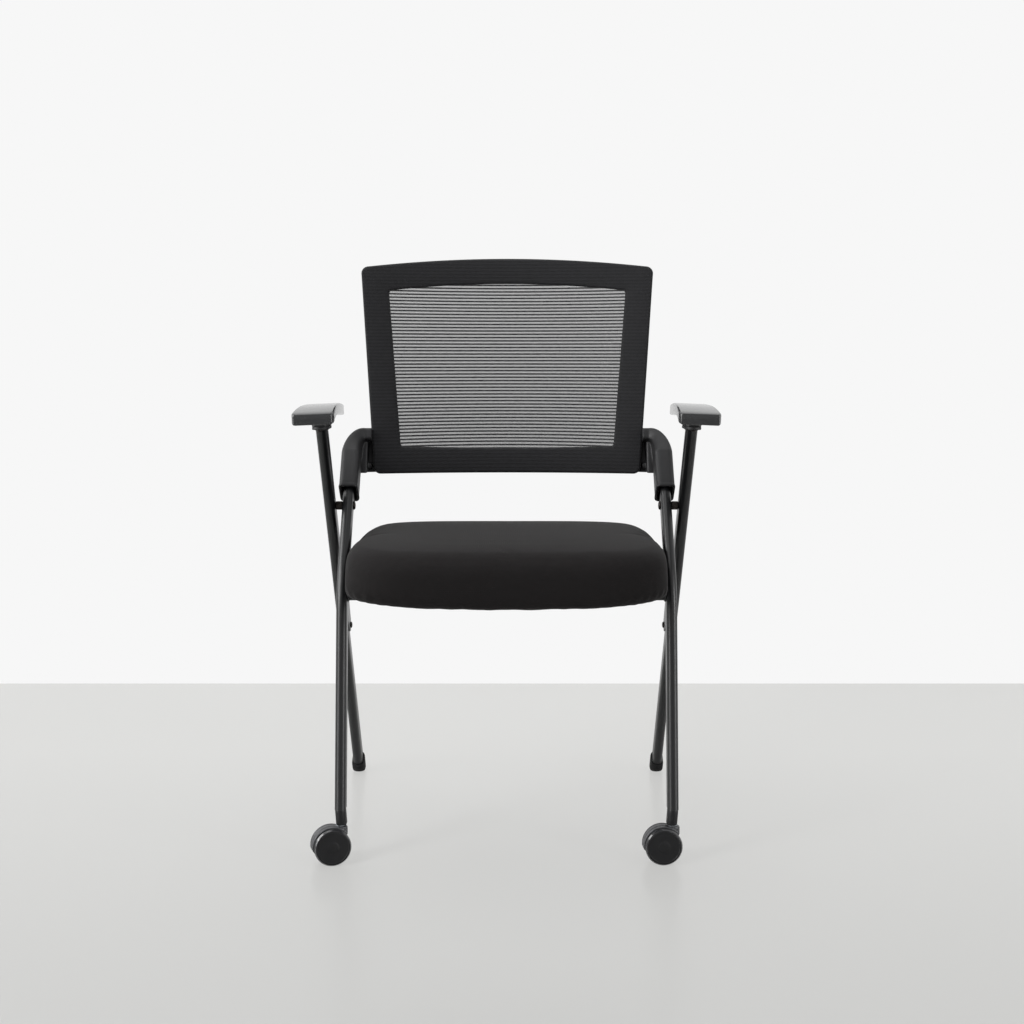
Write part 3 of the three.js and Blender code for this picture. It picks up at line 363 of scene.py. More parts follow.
def grained(name, shader, dark, pale, patch, grain, depth, smooth, rough):
    """A moulded or coated skin: cloudy colour over patches, and a grain of the given size and depth"""
    material, tree, surface, place = started(name, shader)
    cloud = add_node(tree, "ShaderNodeTexNoise", {"Scale": 1 / (patch * MM), "Detail": 3.0},
                     [(place, "Vector")])
    fine = add_node(tree, "ShaderNodeTexNoise", {"Scale": 1 / (grain * MM), "Detail": 2.0},
                    [(place, "Vector")])
    coloured(tree, surface, cloud.outputs["Fac"], (0.3, dark), (0.7, pale))
    roughened(tree, surface, fine.outputs["Fac"], smooth, rough)
    embossed(tree, surface, fine.outputs["Fac"], depth)
    return material


def woven(name, shader, dark, pale, thread, depth, rib=0.0):
    """Yarn over and under yarn in all three directions, so that it runs round edges too"""
    material, tree, surface, place = started(name, shader)
    split = add_node(tree, "ShaderNodeSeparateXYZ", {}, [(place, "Vector")])
    waves = []
    for output in split.outputs:
        turn = add_node(tree, "ShaderNodeMath", {"operation": "MULTIPLY", 1: math.pi / (thread * MM)},
                        [(output, 0)])
        waves.append(add_node(tree, "ShaderNodeMath", {"operation": "SINE"}, [(turn.outputs[0], 0)]))
    total = None
    for first, second in ((0, 1), (1, 2), (2, 0)):
        pair = add_node(tree, "ShaderNodeMath", {"operation": "MULTIPLY"},
                        [(waves[first].outputs[0], 0), (waves[second].outputs[0], 1)])
        if total is None:
            total = pair
        else:
            total = add_node(tree, "ShaderNodeMath", {"operation": "ADD"},
                             [(total.outputs[0], 0), (pair.outputs[0], 1)])
    fuzz = add_node(tree, "ShaderNodeTexNoise", {"Scale": 1 / (thread * 6 * MM), "Detail": 5.0},
                    [(place, "Vector")])
    lifted = add_node(tree, "ShaderNodeMath", {"operation": "MULTIPLY_ADD", 1: 0.22, 2: 0.3},
                      [(total.outputs[0], 0)])
    mixed = add_node(tree, "ShaderNodeMath", {"operation": "MULTIPLY_ADD", 1: 0.45},
                     [(fuzz.outputs["Fac"], 0), (lifted.outputs[0], 2)])
    height = mixed
    if rib:
        bands = add_node(tree, "ShaderNodeMath", {"operation": "MULTIPLY", 1: 2 * math.pi / (rib * MM)},
                         [(split.outputs["Z"], 0)])
        ribs = add_node(tree, "ShaderNodeMath", {"operation": "SINE"}, [(bands.outputs[0], 0)])
        height = add_node(tree, "ShaderNodeMath", {"operation": "MULTIPLY_ADD", 1: 0.2},
                          [(ribs.outputs[0], 0), (mixed.outputs[0], 2)])
    coloured(tree, surface, height.outputs[0], (0.15, dark), (0.85, pale))
    embossed(tree, surface, height.outputs[0], depth)
    return material


# Steel tube, powder coated in semi-gloss black: two clear highlight lines, faint orange peel
tube_coat = grained("powder_coated_steel", {"Metallic": 0.0, "IOR": 1.5},
                    "#131416", "#18191b", 60, 2.2, 0.0015, 0.3, 0.36)
# Glass-filled nylon, injection moulded with a spark-eroded grain: a dull, even dark grey
support_nylon = grained("moulded_nylon", {"IOR": 1.53, "Specular IOR Level": 0.4},
                        "#1e1e20", "#242426", 40, 0.7, 0.02, 0.5, 0.62)
# Nylon of the caster hoods, injection moulded in a mid grey with a fine grain: satin, paler than the wheels
hood_nylon = grained("caster_nylon", {"IOR": 1.53}, "#4f5053", "#57585b", 30, 0.7, 0.015, 0.34, 0.44)
# Polyamide of the wheels and leg sockets, injection moulded with a fine grain: an even near-black
wheel_nylon = grained("wheel_polyamide", {"IOR": 1.5, "Specular IOR Level": 0.35},
                      "#151517", "#1b1b1d", 20, 0.9, 0.01, 0.42, 0.55)
# Integral-skin polyurethane foam: a soft satin skin with a shallow leather grain
pad_skin = grained("integral_skin_polyurethane", {"IOR": 1.5, "Coat Weight": 0.6,
                                                  "Coat Roughness": 0.12},
                   "#242528", "#2a2b2e", 45, 1.6, 0.012, 0.2, 0.3)
# Polyurethane tread on the wheel's rim, smooth from its mould so that the bevel shines
tread_skin = grained("polyurethane_tread", {"IOR": 1.52, "Coat Weight": 0.8, "Coat Roughness": 0.1},
                     "#3c3c3f", "#454548", 20, 0.9, 0.004, 0.16, 0.24)
# Moulded rubber: matte and a little dusty
foot_rubber = grained("moulded_rubber", {"IOR": 1.52, "Specular IOR Level": 0.3},
                      "#121213", "#181819", 18, 0.8, 0.02, 0.7, 0.85)
# Zinc-plated steel: bright and bluish, with cloudy passivation
zinc_plate = grained("zinc_plated_steel", {"Metallic": 1.0}, "#8d9196", "#a9adb1", 9, 0.5, 0.004,
                     0.25, 0.4)
# Black-oxide steel: dark and oily, worn a little brown
oxide_steel = grained("black_oxide_steel", {"Metallic": 0.85}, "#2b2725", "#3a3634", 7, 0.5, 0.008,
                      0.35, 0.5)
# Polypropylene under the seat, moulded with an open grain
base_shell = grained("moulded_polypropylene", {"IOR": 1.49}, "#1e1e20", "#252527", 50, 1.0, 0.03,
                     0.55, 0.7)
# Plain-weave polyester upholstery, yarn 0.8 mm drawn at 1.3 mm so that it shows
seat_weave = woven("woven_upholstery", {"Roughness": 0.88, "IOR": 1.46, "Sheen Weight": 0.06,
                                        "Sheen Roughness": 0.4, "Specular IOR Level": 0.25},
                   "#141112", "#1e1b1b", 1.3, 0.14)
# The same kind of cloth wrapped round the back frame, in ribs as far apart as the net's cords
border_weave = woven("ribbed_border_fabric", {"Roughness": 0.8, "IOR": 1.46, "Sheen Weight": 0.3,
                                              "Sheen Roughness": 0.4, "Specular IOR Level": 0.3},
                     "#121214", "#29292c", 1.0, 0.3, rib=rib_pitch)
# Textured polyester yarn: threads 0.6 mm wide in the warp, flat cords 2.5 mm wide in the weft
mesh_yarn = grained("polyester_yarn", {"IOR": 1.5, "Sheen Weight": 0.3, "Sheen Roughness": 0.4},
                    "#1c1c1e", "#29292b", 12, 0.6, 0.05, 0.55, 0.75)


# Front tubes: one bent flat-oval tube a side, and the cross tube between them


def front_tube(side):
    bend_reach = 34
    bend_steps = 14
    before = leg_point(side, bend.z) - leg_way * bend_reach
    corner = leg_point(side, bend.z)
    after = corner + post_way * bend_reach
    stations = [(leg_point(side, leg_end), leg_way), (leg_point(side, 200), leg_way)]
    for step in range(bend_steps + 1):
        share = step / bend_steps
        centre = before * (1 - share) ** 2 + corner * 2 * share * (1 - share) + after * share ** 2
        way = (corner - before) * (1 - share) + (after - corner) * share
        stations.append((centre, way.normalized()))
    stations.append((post_point(side, 50), post_way))
    stations.append((post_point(side, post_end), post_way))
    rings = [stadium(centre, Vector((0, way.z, -way.y)), tube_width, tube_depth)
             for centre, way in stations]
    rings[0] = flattened(rings[0], leg_way, leg_end)
    return lofted("tube", rings)


def bead(x, centre, radius):
    """A weld bead in small overlapping ripples round a cross tube's end"""
    rings = []
    steps = 56
    for step in range(steps):
        angle = 2 * math.pi * step / steps
        out = Vector((0, math.cos(angle), math.sin(angle)))
        size = 1.5 + 0.25 * math.cos(step * math.pi / 2)
        middle = Vector((x, 0, 0)) + centre + out * (radius + 0.3)
        rings.append([middle + RIGHT * math.cos(turn) * size + out * math.sin(turn) * size
                      for turn in (2 * math.pi * part / 8 for part in range(8))])
    return lofted("bead", rings, looped=True)


def cross_tube(name, centre, half, body, node):
    radius = cross_radius
    edge = 0.8
    bar = turned(name, centre - RIGHT * half, RIGHT,
                 [(radius - edge, 0), (radius, edge), (radius, half), (radius, 2 * half - edge),
                  (radius - edge, 2 * half)])
    beads = [bead(side * (half - 0.6), centre, radius) for side in (-1, 1)]
    return settled(joined(name, *beads, bar), body, tube_coat, "black_tube", node)


for word, side in SIDES:
    settled(front_tube(side), "front_frame", tube_coat, "black_tube",
            f"{word}_front_tube").name = f"{word}_bent_tube"
cross_tube("front_cross_bar", Vector((0, leg_point(1, front_cross_z).y, front_cross_z)),
           front_inner_half, "front_frame", "front_cross_tube")
cross_tube("rear_cross_bar", rear_cross, rear_inner_half, "rear_frame", "rear_cross_tube")

# Rear tubes, straight from the foot to the arm


def rear_way(side):
    return (rear_point(side, pivot.z) - rear_point(side, 0)).normalized()


def rear_axes(side):
    way = rear_way(side)
    across = (RIGHT - way * way.x).normalized()
    return way, across, way.cross(across).normalized()


def rear_ring(side, z, width=tube_width, depth=tube_depth, level=None, steps=12):
    way, across, along = rear_axes(side)
    ring = stadium(rear_point(side, z), along, width, depth, across, steps)
    return ring if level is None else flattened(ring, way, level)


def rear_tube(side):
    foot = 6
    return lofted("tube", [rear_ring(side, foot, level=foot),
                           *(rear_ring(side, z) for z in (150, 300, 480)),
                           rear_ring(side, arm_tube_top, level=arm_tube_top)])


def foot_cap(side):
    """A thick rubber shoe, level at the floor, with a rolled upper lip"""
    rings = [rear_ring(side, 1, 13.0, 17, level=0), rear_ring(side, 1, 17.6, 22, level=0.4),
             rear_ring(side, 1, 19.8, 27, level=1.6), rear_ring(side, 1, 21, 32.4, level=4.2),
             rear_ring(side, 1, 21.2, 35.2, level=8), rear_ring(side, 18, 21.2, 35.6),
             rear_ring(side, 22, 21.2, 35.6), rear_ring(side, 24, 20.6, 35),
             rear_ring(side, 25, 19.2, 33.6), rear_ring(side, 25.2, 16.2, 30.6),
             rear_ring(side, 22.5, 16, 30.4)]
    return lofted("cap", rings)


for word, side in SIDES:
    settled(rear_tube(side), "rear_frame", tube_coat, "black_tube",
            f"{word}_rear_tube").name = f"{word}_straight_tube"
    settled(foot_cap(side), "rear_frame", foot_rubber, "dark_rubber",
            f"{word}_foot_cap").name = f"{word}_rubber_foot"

# Bolts, screws, spacers and plates

back_screw_x = 195.7
back_screw_sink = 1.8
web_thickness = 6
arm_screw_reach = 27.5


def fastener(name, seat, way, head, height, shank, length, socket):
    """A button-head bolt with a hexagon socket, made standing and then laid along its axis"""
    profile = [(shank / 2 - 0.5, -length), (shank / 2, -length + 0.5), (shank / 2, 0),
               (head / 2 - 0.3, 0), (head / 2, 0.3), (head / 2, height * 0.35),
               (head / 2 - 0.08 * head, height * 0.78), (head / 2 - 0.2 * head, height),
               (socket / 2 + 0.25, height), (socket / 2, height - 0.25, 6), (socket / 2, height * 0.25, 6)]
    return turned(name, seat, way, profile, sides=36)


def spacer(side):
    """Knurled steel sleeve between the two tubes at the pivot"""
    rings = []
    for radius, height in ((5.4, 0), (6.0, 0.6), (6.3, 1.2), (6.3, 9.0), (6.0, 9.6), (5.4, 10.2)):
        middle = Vector((side * (front_outer_half + height), pivot.y, pivot.z))
        ring = round_ring(middle, RIGHT, radius, 72)
        if 1 < height < 9.2:
            ring = [middle + (place - middle) * (0.965 if index % 2 else 1)
                    for index, place in enumerate(ring)]
        rings.append(ring)
    return lofted("spacer", rings)


for word, side in SIDES:
    way = RIGHT * -side
    bolt = fastener("bolt", Vector((side * front_inner_half, pivot.y, pivot.z)), way, 13, 2.8, 8, 34, 5)
    settled(bolt, "front_frame", oxide_steel, "black_steel",
            f"{word}_pivot_bolt").name = f"{word}_pivot_bolt_button"
    settled(spacer(side), "front_frame", oxide_steel, "black_steel",
            f"{word}_pivot_spacer").name = f"{word}_knurled_spacer"
    nut = from_node(f"{word}_pivot_nut", f"{word}_hexagon_nut", 0.3)
    settled(nut, "rear_frame", oxide_steel, "black_steel", f"{word}_pivot_nut")
    plate = from_node(f"{word}_bracket_plate", f"{word}_hinge_plate", 0.5)
    settled(plate, "rear_frame", tube_coat, "black_tube", f"{word}_bracket_plate")
    for level in ("low", "high"):
        low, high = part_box(f"{word}_bracket_bolt_{level}")
        middle = (low + high) / 2 / MM
        seat = Vector((side * rear_inner_half, middle.y, middle.z))
        bolt = fastener("bolt", seat, way, 10, 2.4, 6, 10.5, 4)
        settled(bolt, "rear_frame", oxide_steel, "black_steel",
                f"{word}_bracket_bolt_{level}").name = f"{word}_plate_bolt_{level}"
    for level, z in (("low", 553.95), ("high", 584.95)):
        seat_y = back_y(back_screw_x, z) + back_thickness + clearance + web_thickness - back_screw_sink
        screw = fastener("screw", Vector((side * back_screw_x, seat_y, z)), BACKWARD, 8, 2.4, 4, 11, 3)
        settled(screw, "front_frame", oxide_steel, "black_steel",
                f"{word}_back_screw_{level}").name = f"{word}_support_screw_{level}"
    for place, offset in (("front", -arm_screw_reach), ("rear", arm_screw_reach)):
        top = rear_point(side, flange_low)
        screw = fastener("screw", Vector((top.x, top.y + offset, arm_tube_top)), -UP,
                         7, 2.2, 4, 15, 2.5)
        settled(screw, "rear_frame", oxide_steel, "black_steel",
                f"{word}_arm_screw_{place}").name = f"{word}_pad_screw_{place}"

# Back supports: a moulded sleeve over each post that turns inwards and carries the back


def support(side):
    sleeve_width = 27.6
    sleeve_depth = 42
    sleeve_corner = 6.9
    elbow_steps = 14
    web_z = 569
    web_reach = 28
    across = RIGHT * side
    sections = []
    for at, grow in ((21, 0.0), (21.8, 1.1), (23, 1.4), (25.4, 1.4), (26.4, 0.1), (40, 0), (60, 0),
                     (80, 0)):
        sections.append(rounded(post_point(side, at), across, post_back, sleeve_width + grow,
                                sleeve_depth + grow, sleeve_corner))
    start = post_point(side, 88)
    end_z = 594.45
    end = Vector((side * 217, back_y(217, end_z) - 1, end_z))
    back_up = Vector((0, 115, 315.5)).normalized()
    for step in range(elbow_steps + 1):
        share = step / elbow_steps
        angle = share * math.pi / 2
        up = post_way.lerp(back_up, share).normalized()
        centre = start.lerp(end, math.sin(angle))
        centre.x = start.x + (end.x - start.x) * (1 - math.cos(angle))
        out = across * math.cos(angle) + up * math.sin(angle)
        width = sleeve_width - 8.6 * share
        depth = sleeve_depth - 24 * share
        sections.append(rounded(centre, out, Vector((0, up.z, -up.y)), width, depth, width / 4))
    tip = Vector((side * 207.6, end.y, end.z))
    sections.append(rounded(tip, back_up, Vector((0, back_up.z, -back_up.y)), 19, 18, 4.75))
    mouth = [rounded(post_point(side, at), across, post_back, sleeve_width - trim,
                     sleeve_depth - trim, sleeve_corner - trim / 2)
             for at, trim in ((33, 7.4), (22, 6.6), (21, 5.6))]
    sleeve = lofted("sleeve", mouth + sections)
    slices = []
    for step in range(9):
        x = 186 + (front_half - 186) * step / 8
        front = back_y(x, web_z) + back_thickness + clearance
        lean = (back_y(x, web_z + web_reach) - back_y(x, web_z - web_reach)) / (2 * web_reach)
        up = Vector((0, lean, 1))
        middle = Vector((side * x, front + web_thickness / 2, web_z))
        slices.append([middle + up * rise + BACKWARD * depth
                       for rise, depth in ((-32, -3), (-32, 3), (web_reach, 3), (web_reach, -3))])
    web = lofted("web", slices)
    block = lofted("block", [rounded(Vector((side * 224, middle, z)), RIGHT, BACKWARD, 20, deep, 3)
                             for z, middle, deep in ((537, 43, 24), (web_z, 54, 22), (590, 61, 18))])
    boss = turned("boss", Vector((side * 211.5, back_y(211.5, 547) + 8.3, 547)), BACKWARD,
                  [(4.1, 0), (4.5, 0.4), (4.5, 9)], sides=24)
    return melted(joined("support", boss, block, web, sleeve), 1.1, 6)


for word, side in SIDES:
    settled(support(side), "front_frame", support_nylon, "black_plastic",
            f"{word}_back_support").name = f"{word}_moulded_support"

# Back frame: a wrapped border with a soft section, bowed away from the sitter


def back_loop(low, low_half, high, high_half, crown, sag, radius, edges=48, uprights=36, corners=8):
    """A trapezoid with round corners, a crowned top and a sagging foot, as (x, z) places"""
    places = []
    low_reach = half_at(low + radius, low, low_half, high, high_half) - radius
    high_reach = half_at(high - radius, low, low_half, high, high_half) - radius

    def corner(x, z, start):
        for step in range(corners + 1):
            angle = start + step / corners * math.pi / 2
            places.append((x + radius * math.cos(angle), z + radius * math.sin(angle)))

    def edge(begin, end, z, rise):
        for step in range(1, edges):
            x = begin + (end - begin) * step / edges
            places.append((x, z + rise * (1 - (x / begin) ** 2)))

    def upright(sign, begin, end):
        for step in range(1, uprights):
            z = begin + (end - begin) * step / uprights
            places.append((sign * half_at(z, low, low_half, high, high_half), z))

    corner(low_reach, low + radius, -math.pi / 2)
    upright(1, low + radius, high - radius)
    corner(high_reach, high - radius, 0)
    edge(high_reach, -high_reach, high, crown)
    corner(-high_reach, high - radius, math.pi / 2)
    upright(-1, high - radius, low + radius)
    corner(-low_reach, low + radius, math.pi)
    edge(-low_reach, low_reach, low, -sag)
    return places


def back_border():
    outer = back_loop(back_low, back_low_half, back_high, back_high_half, 13.8, 0.5, 11)
    inner = back_loop(window_low, window_low_half, window_high, window_high_half, window_crown,
                      window_sag, 5.5)
    rings = []
    for (outer_x, outer_z), (inner_x, inner_z) in zip(outer, inner):
        wide = math.hypot(inner_x - outer_x, inner_z - outer_z)
        ring = []
        flat = rounded(Vector((0, 0, 0)), RIGHT, BACKWARD, wide, back_thickness, 4.5, steps=4)
        for place in flat:
            share = place.x / wide + 0.5
            x = outer_x + (inner_x - outer_x) * share
            z = outer_z + (inner_z - outer_z) * share
            crown = -0.9 * math.sin(math.pi * share) if place.y < 0 else 0
            ring.append(Vector((x, back_y(x, z) + back_thickness / 2 + place.y + crown, z)))
        rings.append(ring)
    return lofted("back_border", rings, looped=True)


settled(back_border(), "front_frame", border_weave, "back_mesh", "back_frame")

# Back mesh: fine warp threads and flat weft cords, stretched over the window


def window_foot(share):
    return window_low - window_sag * (1 - share ** 2)


def window_head(share):
    return window_high + window_crown * (1 - share ** 2)


def on_back(share, z, depth):
    x = share * (half_at(z, window_low, window_low_half, window_high, window_high_half) + 1.2)
    return Vector((x, back_y(x, z) + 3.8 + depth, z))


def row_z(share, z):
    """The cords fan out a little towards the sides, from one level row"""
    level_row = 698
    return level_row + (z - level_row) * (1 + 0.015 * share ** 2)


def row_reach(z):
    """How far across the window a weft cord at this height runs"""
    reach = 1.0
    while reach > 0.05 and not window_foot(reach) - 1 < row_z(reach, z) < window_head(reach) + 1:
        reach -= 0.01
    return reach


def warp_threads(count=357):
    """One three-sided thread, arrayed across and then laid on the bowed back"""
    rings = []
    for step in range(21):
        rings.append([Vector((0.36 * math.cos(angle), 0.22 * math.sin(angle), step / 20 * 100))
                      for angle in (math.radians(turn) for turn in (90, 210, 330))])
    thread = lofted("warp", rings)
    worked(thread, "ARRAY", count=count, use_relative_offset=False, use_constant_offset=True,
           constant_offset_displace=(MM, 0, 0))

    def place_of(place):
        column = round(place.x)
        share = (column + 0.5) / count * 2 - 1
        z = window_foot(share) - 1 + (window_head(share) - window_foot(share) + 2) * place.z / 100
        return on_back(share, z, place.y) + RIGHT * (place.x - column)

    return shaped(thread, place_of)


def weft_cords(pitch=rib_pitch, first=572.2, count=50):
    """One flat cord, arrayed upwards and then laid on the bowed back"""
    rings = []
    for step in range(41):
        across = step / 40 * 2 - 1
        rings.append([Vector((across * 100, 0.6 * math.sin(angle), 1.25 * math.cos(angle)))
                      for angle in (2 * math.pi * part / 6 for part in range(6))])
    cord = lofted("weft", rings)
    worked(cord, "ARRAY", count=count, use_relative_offset=False, use_constant_offset=True,
           constant_offset_displace=(0, 0, 10 * MM))

    def place_of(place):
        row = round(place.z / 10)
        height = first + row * pitch
        share = place.x / 100 * row_reach(height)
        return on_back(share, row_z(share, height) + place.z - row * 10, place.y)

    return shaped(cord, place_of)


net = joined("back_net", weft_cords(), warp_threads())
settled(net, "front_frame", mesh_yarn, "back_mesh", "back_mesh", angle=60)

# Arm brackets and pads


def arm_bracket(side):
    """An oval flange with a collar that tapers down round the tube"""
    top = rear_point(side, flange_low)
    flange = lofted("flange", [stadium(Vector((top.x, top.y, z)), BACKWARD, 22.6 - trim, 66 - trim)
                               for z, trim in ((613.3, 1.2), (613.8, 0.2), (614.3, 0), (616.6, 0),
                                               (617.1, 0.3), (617.3, 1.2))])
    collar = lofted("collar", [rear_ring(side, z, 15.9 + trim, 30.3 + trim, level=z)
                               for z, trim in ((611.4, 0), (611.7, 0.7), (612.6, 1.5), (614, 2.6))])
    return joined("bracket", collar, flange)


pad_length = 240
pad_width = 58


def pad_top(share):
    crest = 0.36
    ahead = max(crest - share, 0) / crest
    behind = max(share - crest, 0) / (1 - crest)
    return 650.0 - 9 * ahead ** 2 - 7 * behind ** 2


def arm_pad(side):
    """An arched pad, wide in front, that dips to a boss over its flange"""
    across = Vector((side * pad_width, 0, -2.4)).normalized() * side
    up = Vector((side * 2.4, 0, pad_width)).normalized()
    rings = []
    shares = [0, 0.001, 0.004, 0.009, 0.016, 0.028] + [0.04 + 0.92 * step / 36 for step in range(37)]
    shares += [0.972, 0.984, 0.991, 0.996, 0.999, 1]
    for share in shares:
        end = min(share, 1 - share) * pad_length
        soft = max(1 - end / 10, 0) ** 2
        lip = max(1 - end / 1.3, 0)
        closing = 1 - math.sqrt(1 - lip ** 2)
        width = pad_width - 23 * share - 6 * soft - 2.4 * closing
        thickness = 16 - 1.2 * soft - 2.4 * closing
        centre = Vector((side * 260.76, -249.9 + pad_length * share, pad_top(share) - 8))
        rings.append(rounded(centre, across, up, width, thickness, 2.8 - 0.9 * closing))
    pad = lofted("pad", rings)
    top = rear_point(side, flange_low)
    boss = lofted("boss", [rounded(Vector((top.x, top.y, z)), RIGHT, BACKWARD, 22 + flare,
                                   64 + 2.5 * flare, 6)
                           for z, flare in ((617.6, -1.4), (618.4, 0), (628, 0), (632, 0.8), (635, 2.4),
                                            (637, 5), (638.2, 8))])
    return pad, boss


for word, side in SIDES:
    settled(arm_bracket(side), "rear_frame", support_nylon, "black_plastic",
            f"{word}_arm_bracket").name = f"{word}_flanged_plug"
    pad, boss = arm_pad(side)
    settled(boss, "rear_frame", support_nylon, "black_plastic", angle=50).name = f"{word}_pad_boss"
    settled(pad, "rear_frame", pad_skin, "grey_pad", f"{word}_arm_pad", angle=50)
    pad.name = f"{word}_arched_pad"

# Seat: cushion blown up by cloth simulation, shell, clamps and rest pads


def seat_outline(inset, count=128):
    """The seat's plan, a squared oval that narrows to the rear, evenly stepped"""
    def squared(value):
        return math.copysign(abs(value) ** 0.385, value)

    widest = seat_front + 70
    dense = []
    for step in range(4000):
        angle = 2 * math.pi * step / 4000
        y = (seat_front + seat_rear) / 2 + squared(math.sin(angle)) * ((seat_rear - seat_front) / 2 - inset)
        behind = max(y - widest, 0) / (seat_rear - widest)
        dense.append(Vector((squared(math.cos(angle)) * (seat_half - 13 * behind ** 1.4 - inset), y, 0)))
    lengths = [0.0]
    for first, second in zip(dense, dense[1:] + dense[:1]):
        lengths.append(lengths[-1] + (second - first).length)
    ring = []
    index = 0
    for step in range(count):
        target = lengths[-1] * step / count
        while lengths[index + 1] < target:
            index += 1
        share = (target - lengths[index]) / (lengths[index + 1] - lengths[index])
        ring.append(dense[index].lerp(dense[(index + 1) % len(dense)], share))
    return ring


def cushion():
    bottom = 393.3
    height = 69.7
    shrink = 1.5
    front_fall = -132.8
    rear_fall = -11.7
    crown_start = 425
    # Past clear_half the sides flatten off, so that they clear the back supports when the seat flips
    clear_half = 214
    most_over = 6.4
    levels = [(-0.005, 48), (-0.01, 31), (-0.075, 27), (-0.095, 21), (-0.098, 15), (-0.08, 9.5), (-0.045, 6),
              (0.01, 3.6), (0.08, 1.6), (0.15, 0.6), (0.3, 0), (0.45, 0.2)]
    for step in range(1, 9):
        angle = step / 8 * math.pi / 2
        levels.append((0.5 + 0.45 * math.sin(angle), 34 * (1 - math.cos(angle))))
    levels += [(0.97, 55), (0.985, 80), (0.994, 120), (0.999, 170)]
    rings = []
    for rise, inset in levels:
        ring = []
        for place in seat_outline(inset + shrink):
            lift = max(2 * rise - 1, 0)
            ahead = max(front_fall - place.y, 0) / (front_fall - seat_front)
            behind = max(place.y - rear_fall, 0) / (seat_rear - rear_fall)
            drop = 3 * ahead ** 2 + 8 * behind ** 2
            belly = 7 * (1 - (place.x / seat_half) ** 2) * ahead ** 2 if rise < 0.1 and inset < 30 else 0
            ring.append(Vector((place.x, place.y, bottom + (height - shrink) * rise - drop * lift - belly)))
        rings.append(ring)
    pad = lofted("upholstered_cushion", rings)
    worked(pad, "REMESH", mode="VOXEL", voxel_size=5.5 * MM, adaptivity=0)
    worked(pad, "SMOOTH", factor=0.5, iterations=2)
    start = [vertex.co.copy() for vertex in pad.data.vertices]
    cloth = pad.modifiers.new("cloth", "CLOTH")
    cloth.settings.use_pressure = True
    cloth.settings.uniform_pressure_force = 4.0
    cloth.settings.effector_weights.gravity = 0
    for number in range(1, 21):
        bpy.context.scene.frame_set(number)
    only(pad)
    bpy.ops.object.modifier_apply(modifier=cloth.name)
    bpy.context.scene.frame_set(1)
    for vertex, before in zip(pad.data.vertices, start):
        step = vertex.co - before
        most = 3.5 * MM
        if step.length > most:
            step *= most / step.length
        vertex.co = before + step
    worked(pad, "SUBSURF", levels=1, render_levels=1)
    low = Vector([min(vertex.co[axis] for vertex in pad.data.vertices) for axis in range(3)]) / MM
    high = Vector([max(vertex.co[axis] for vertex in pad.data.vertices) for axis in range(3)]) / MM
    middle = (low + high) / 2
    target_low = Vector((-220.6, seat_front + 0.3, low.z))
    target_high = Vector((220.6, seat_rear - 0.4, 463.2))
    target = (target_low + target_high) / 2

    fills = ((380, 6), (400, 8.5), (412, 8.2), (425, 6.0), (440, 5.8), (452, 8.5), (463, 9.5), (480, 9.5))

    def side_fill(z):
        """How far the foam bulges at the sides in front, by height"""
        z = min(max(z, 380), 479.9)
        for (low_z, low_fill), (high_z, high_fill) in zip(fills, fills[1:]):
            if z < high_z:
                return low_fill + (high_fill - low_fill) * (z - low_z) / (high_z - low_z)

    def place_of(place):
        """The cover keeps the seat's size, and is pulled under its edge in small puckers"""
        for axis in range(2):
            ratio = (target_high[axis] - target_low[axis]) / (high[axis] - low[axis])
            place[axis] = target[axis] + (place[axis] - middle[axis]) * ratio
        if place.z > crown_start:
            stretch = (place.z - crown_start) * (target_high.z - crown_start) / (high.z - crown_start)
            place.z = crown_start + stretch
        outer = min(abs(place.x) / 200, 1) ** 3
        front = min(max((-100 - place.y) / 120, 0), 1)
        raised = min(max((place.z - 418) / 30, 0), 1)
        behind = 8.5 * raised ** 2 * (3 - 2 * raised)
        fuller = behind + (side_fill(place.z) - behind) * front
        place.x += math.copysign(outer * fuller, place.x)
        if abs(place.x) > clear_half:
            half = clear_half + most_over * math.tanh((abs(place.x) - clear_half) / most_over)
            place.x = math.copysign(half, place.x)
        tucked = max(1 - abs(place.z - 391) / 16, 0)
        depth = place.y - seat_middle_y
        corner = min((abs(place.x) / 200) ** 5 * (abs(depth) / 200) ** 3, 1) * 3.0 + 0.3
        along = math.atan2(depth, place.x) * 215
        wave = math.sin(2 * math.pi * along / 12 + 2.0 * math.sin(along / 23))
        out = Vector((place.x, depth, 0)).normalized()
        return place + (out * 0.7 + Vector((0, 0, 0.5))) * corner * tucked * wave

    shaped(pad, place_of)
    return worked(pad, "SMOOTH", factor=0.5, iterations=3)


seat_pad = settled(cushion(), "seat", seat_weave, "seat_fabric", "seat_cushion", angle=80)


def seat_shell():
    """A moulded shell with a raised rim and stiffening ribs below"""
    levels = ((387.0, 28), (387.6, 26.2), (388.6, 25.2), (391.5, 24.6), (393.0, 25))
    rings = [[place + UP * z for place in seat_outline(inset)] for z, inset in levels]
    rim = [[place + UP * z for place in seat_outline(inset)]
           for z, inset in ((390.2, 44), (390.2, 38), (387.6, 35), (387.0, 34))]
    shell = lofted("seat_shell", rim + rings)
    rib_z = 388.9
    ribs = []
    for x in (-120, -60, 0, 60, 120):
        ribs.append(added("rib", bpy.ops.mesh.primitive_cube_add, size=1,
                          location=Vector((x, seat_middle_y, rib_z)) * MM,
                          scale=(0.003, 0.375, 0.0034)))
    for y in (-230, -185, -60, 50):
        ribs.append(added("rib", bpy.ops.mesh.primitive_cube_add, size=1,
                          location=Vector((0, y, rib_z)) * MM, scale=(0.37, 0.003, 0.0034)))
    return joined("seat_shell", *[broken_edges(rib, 0.6) for rib in ribs], shell)


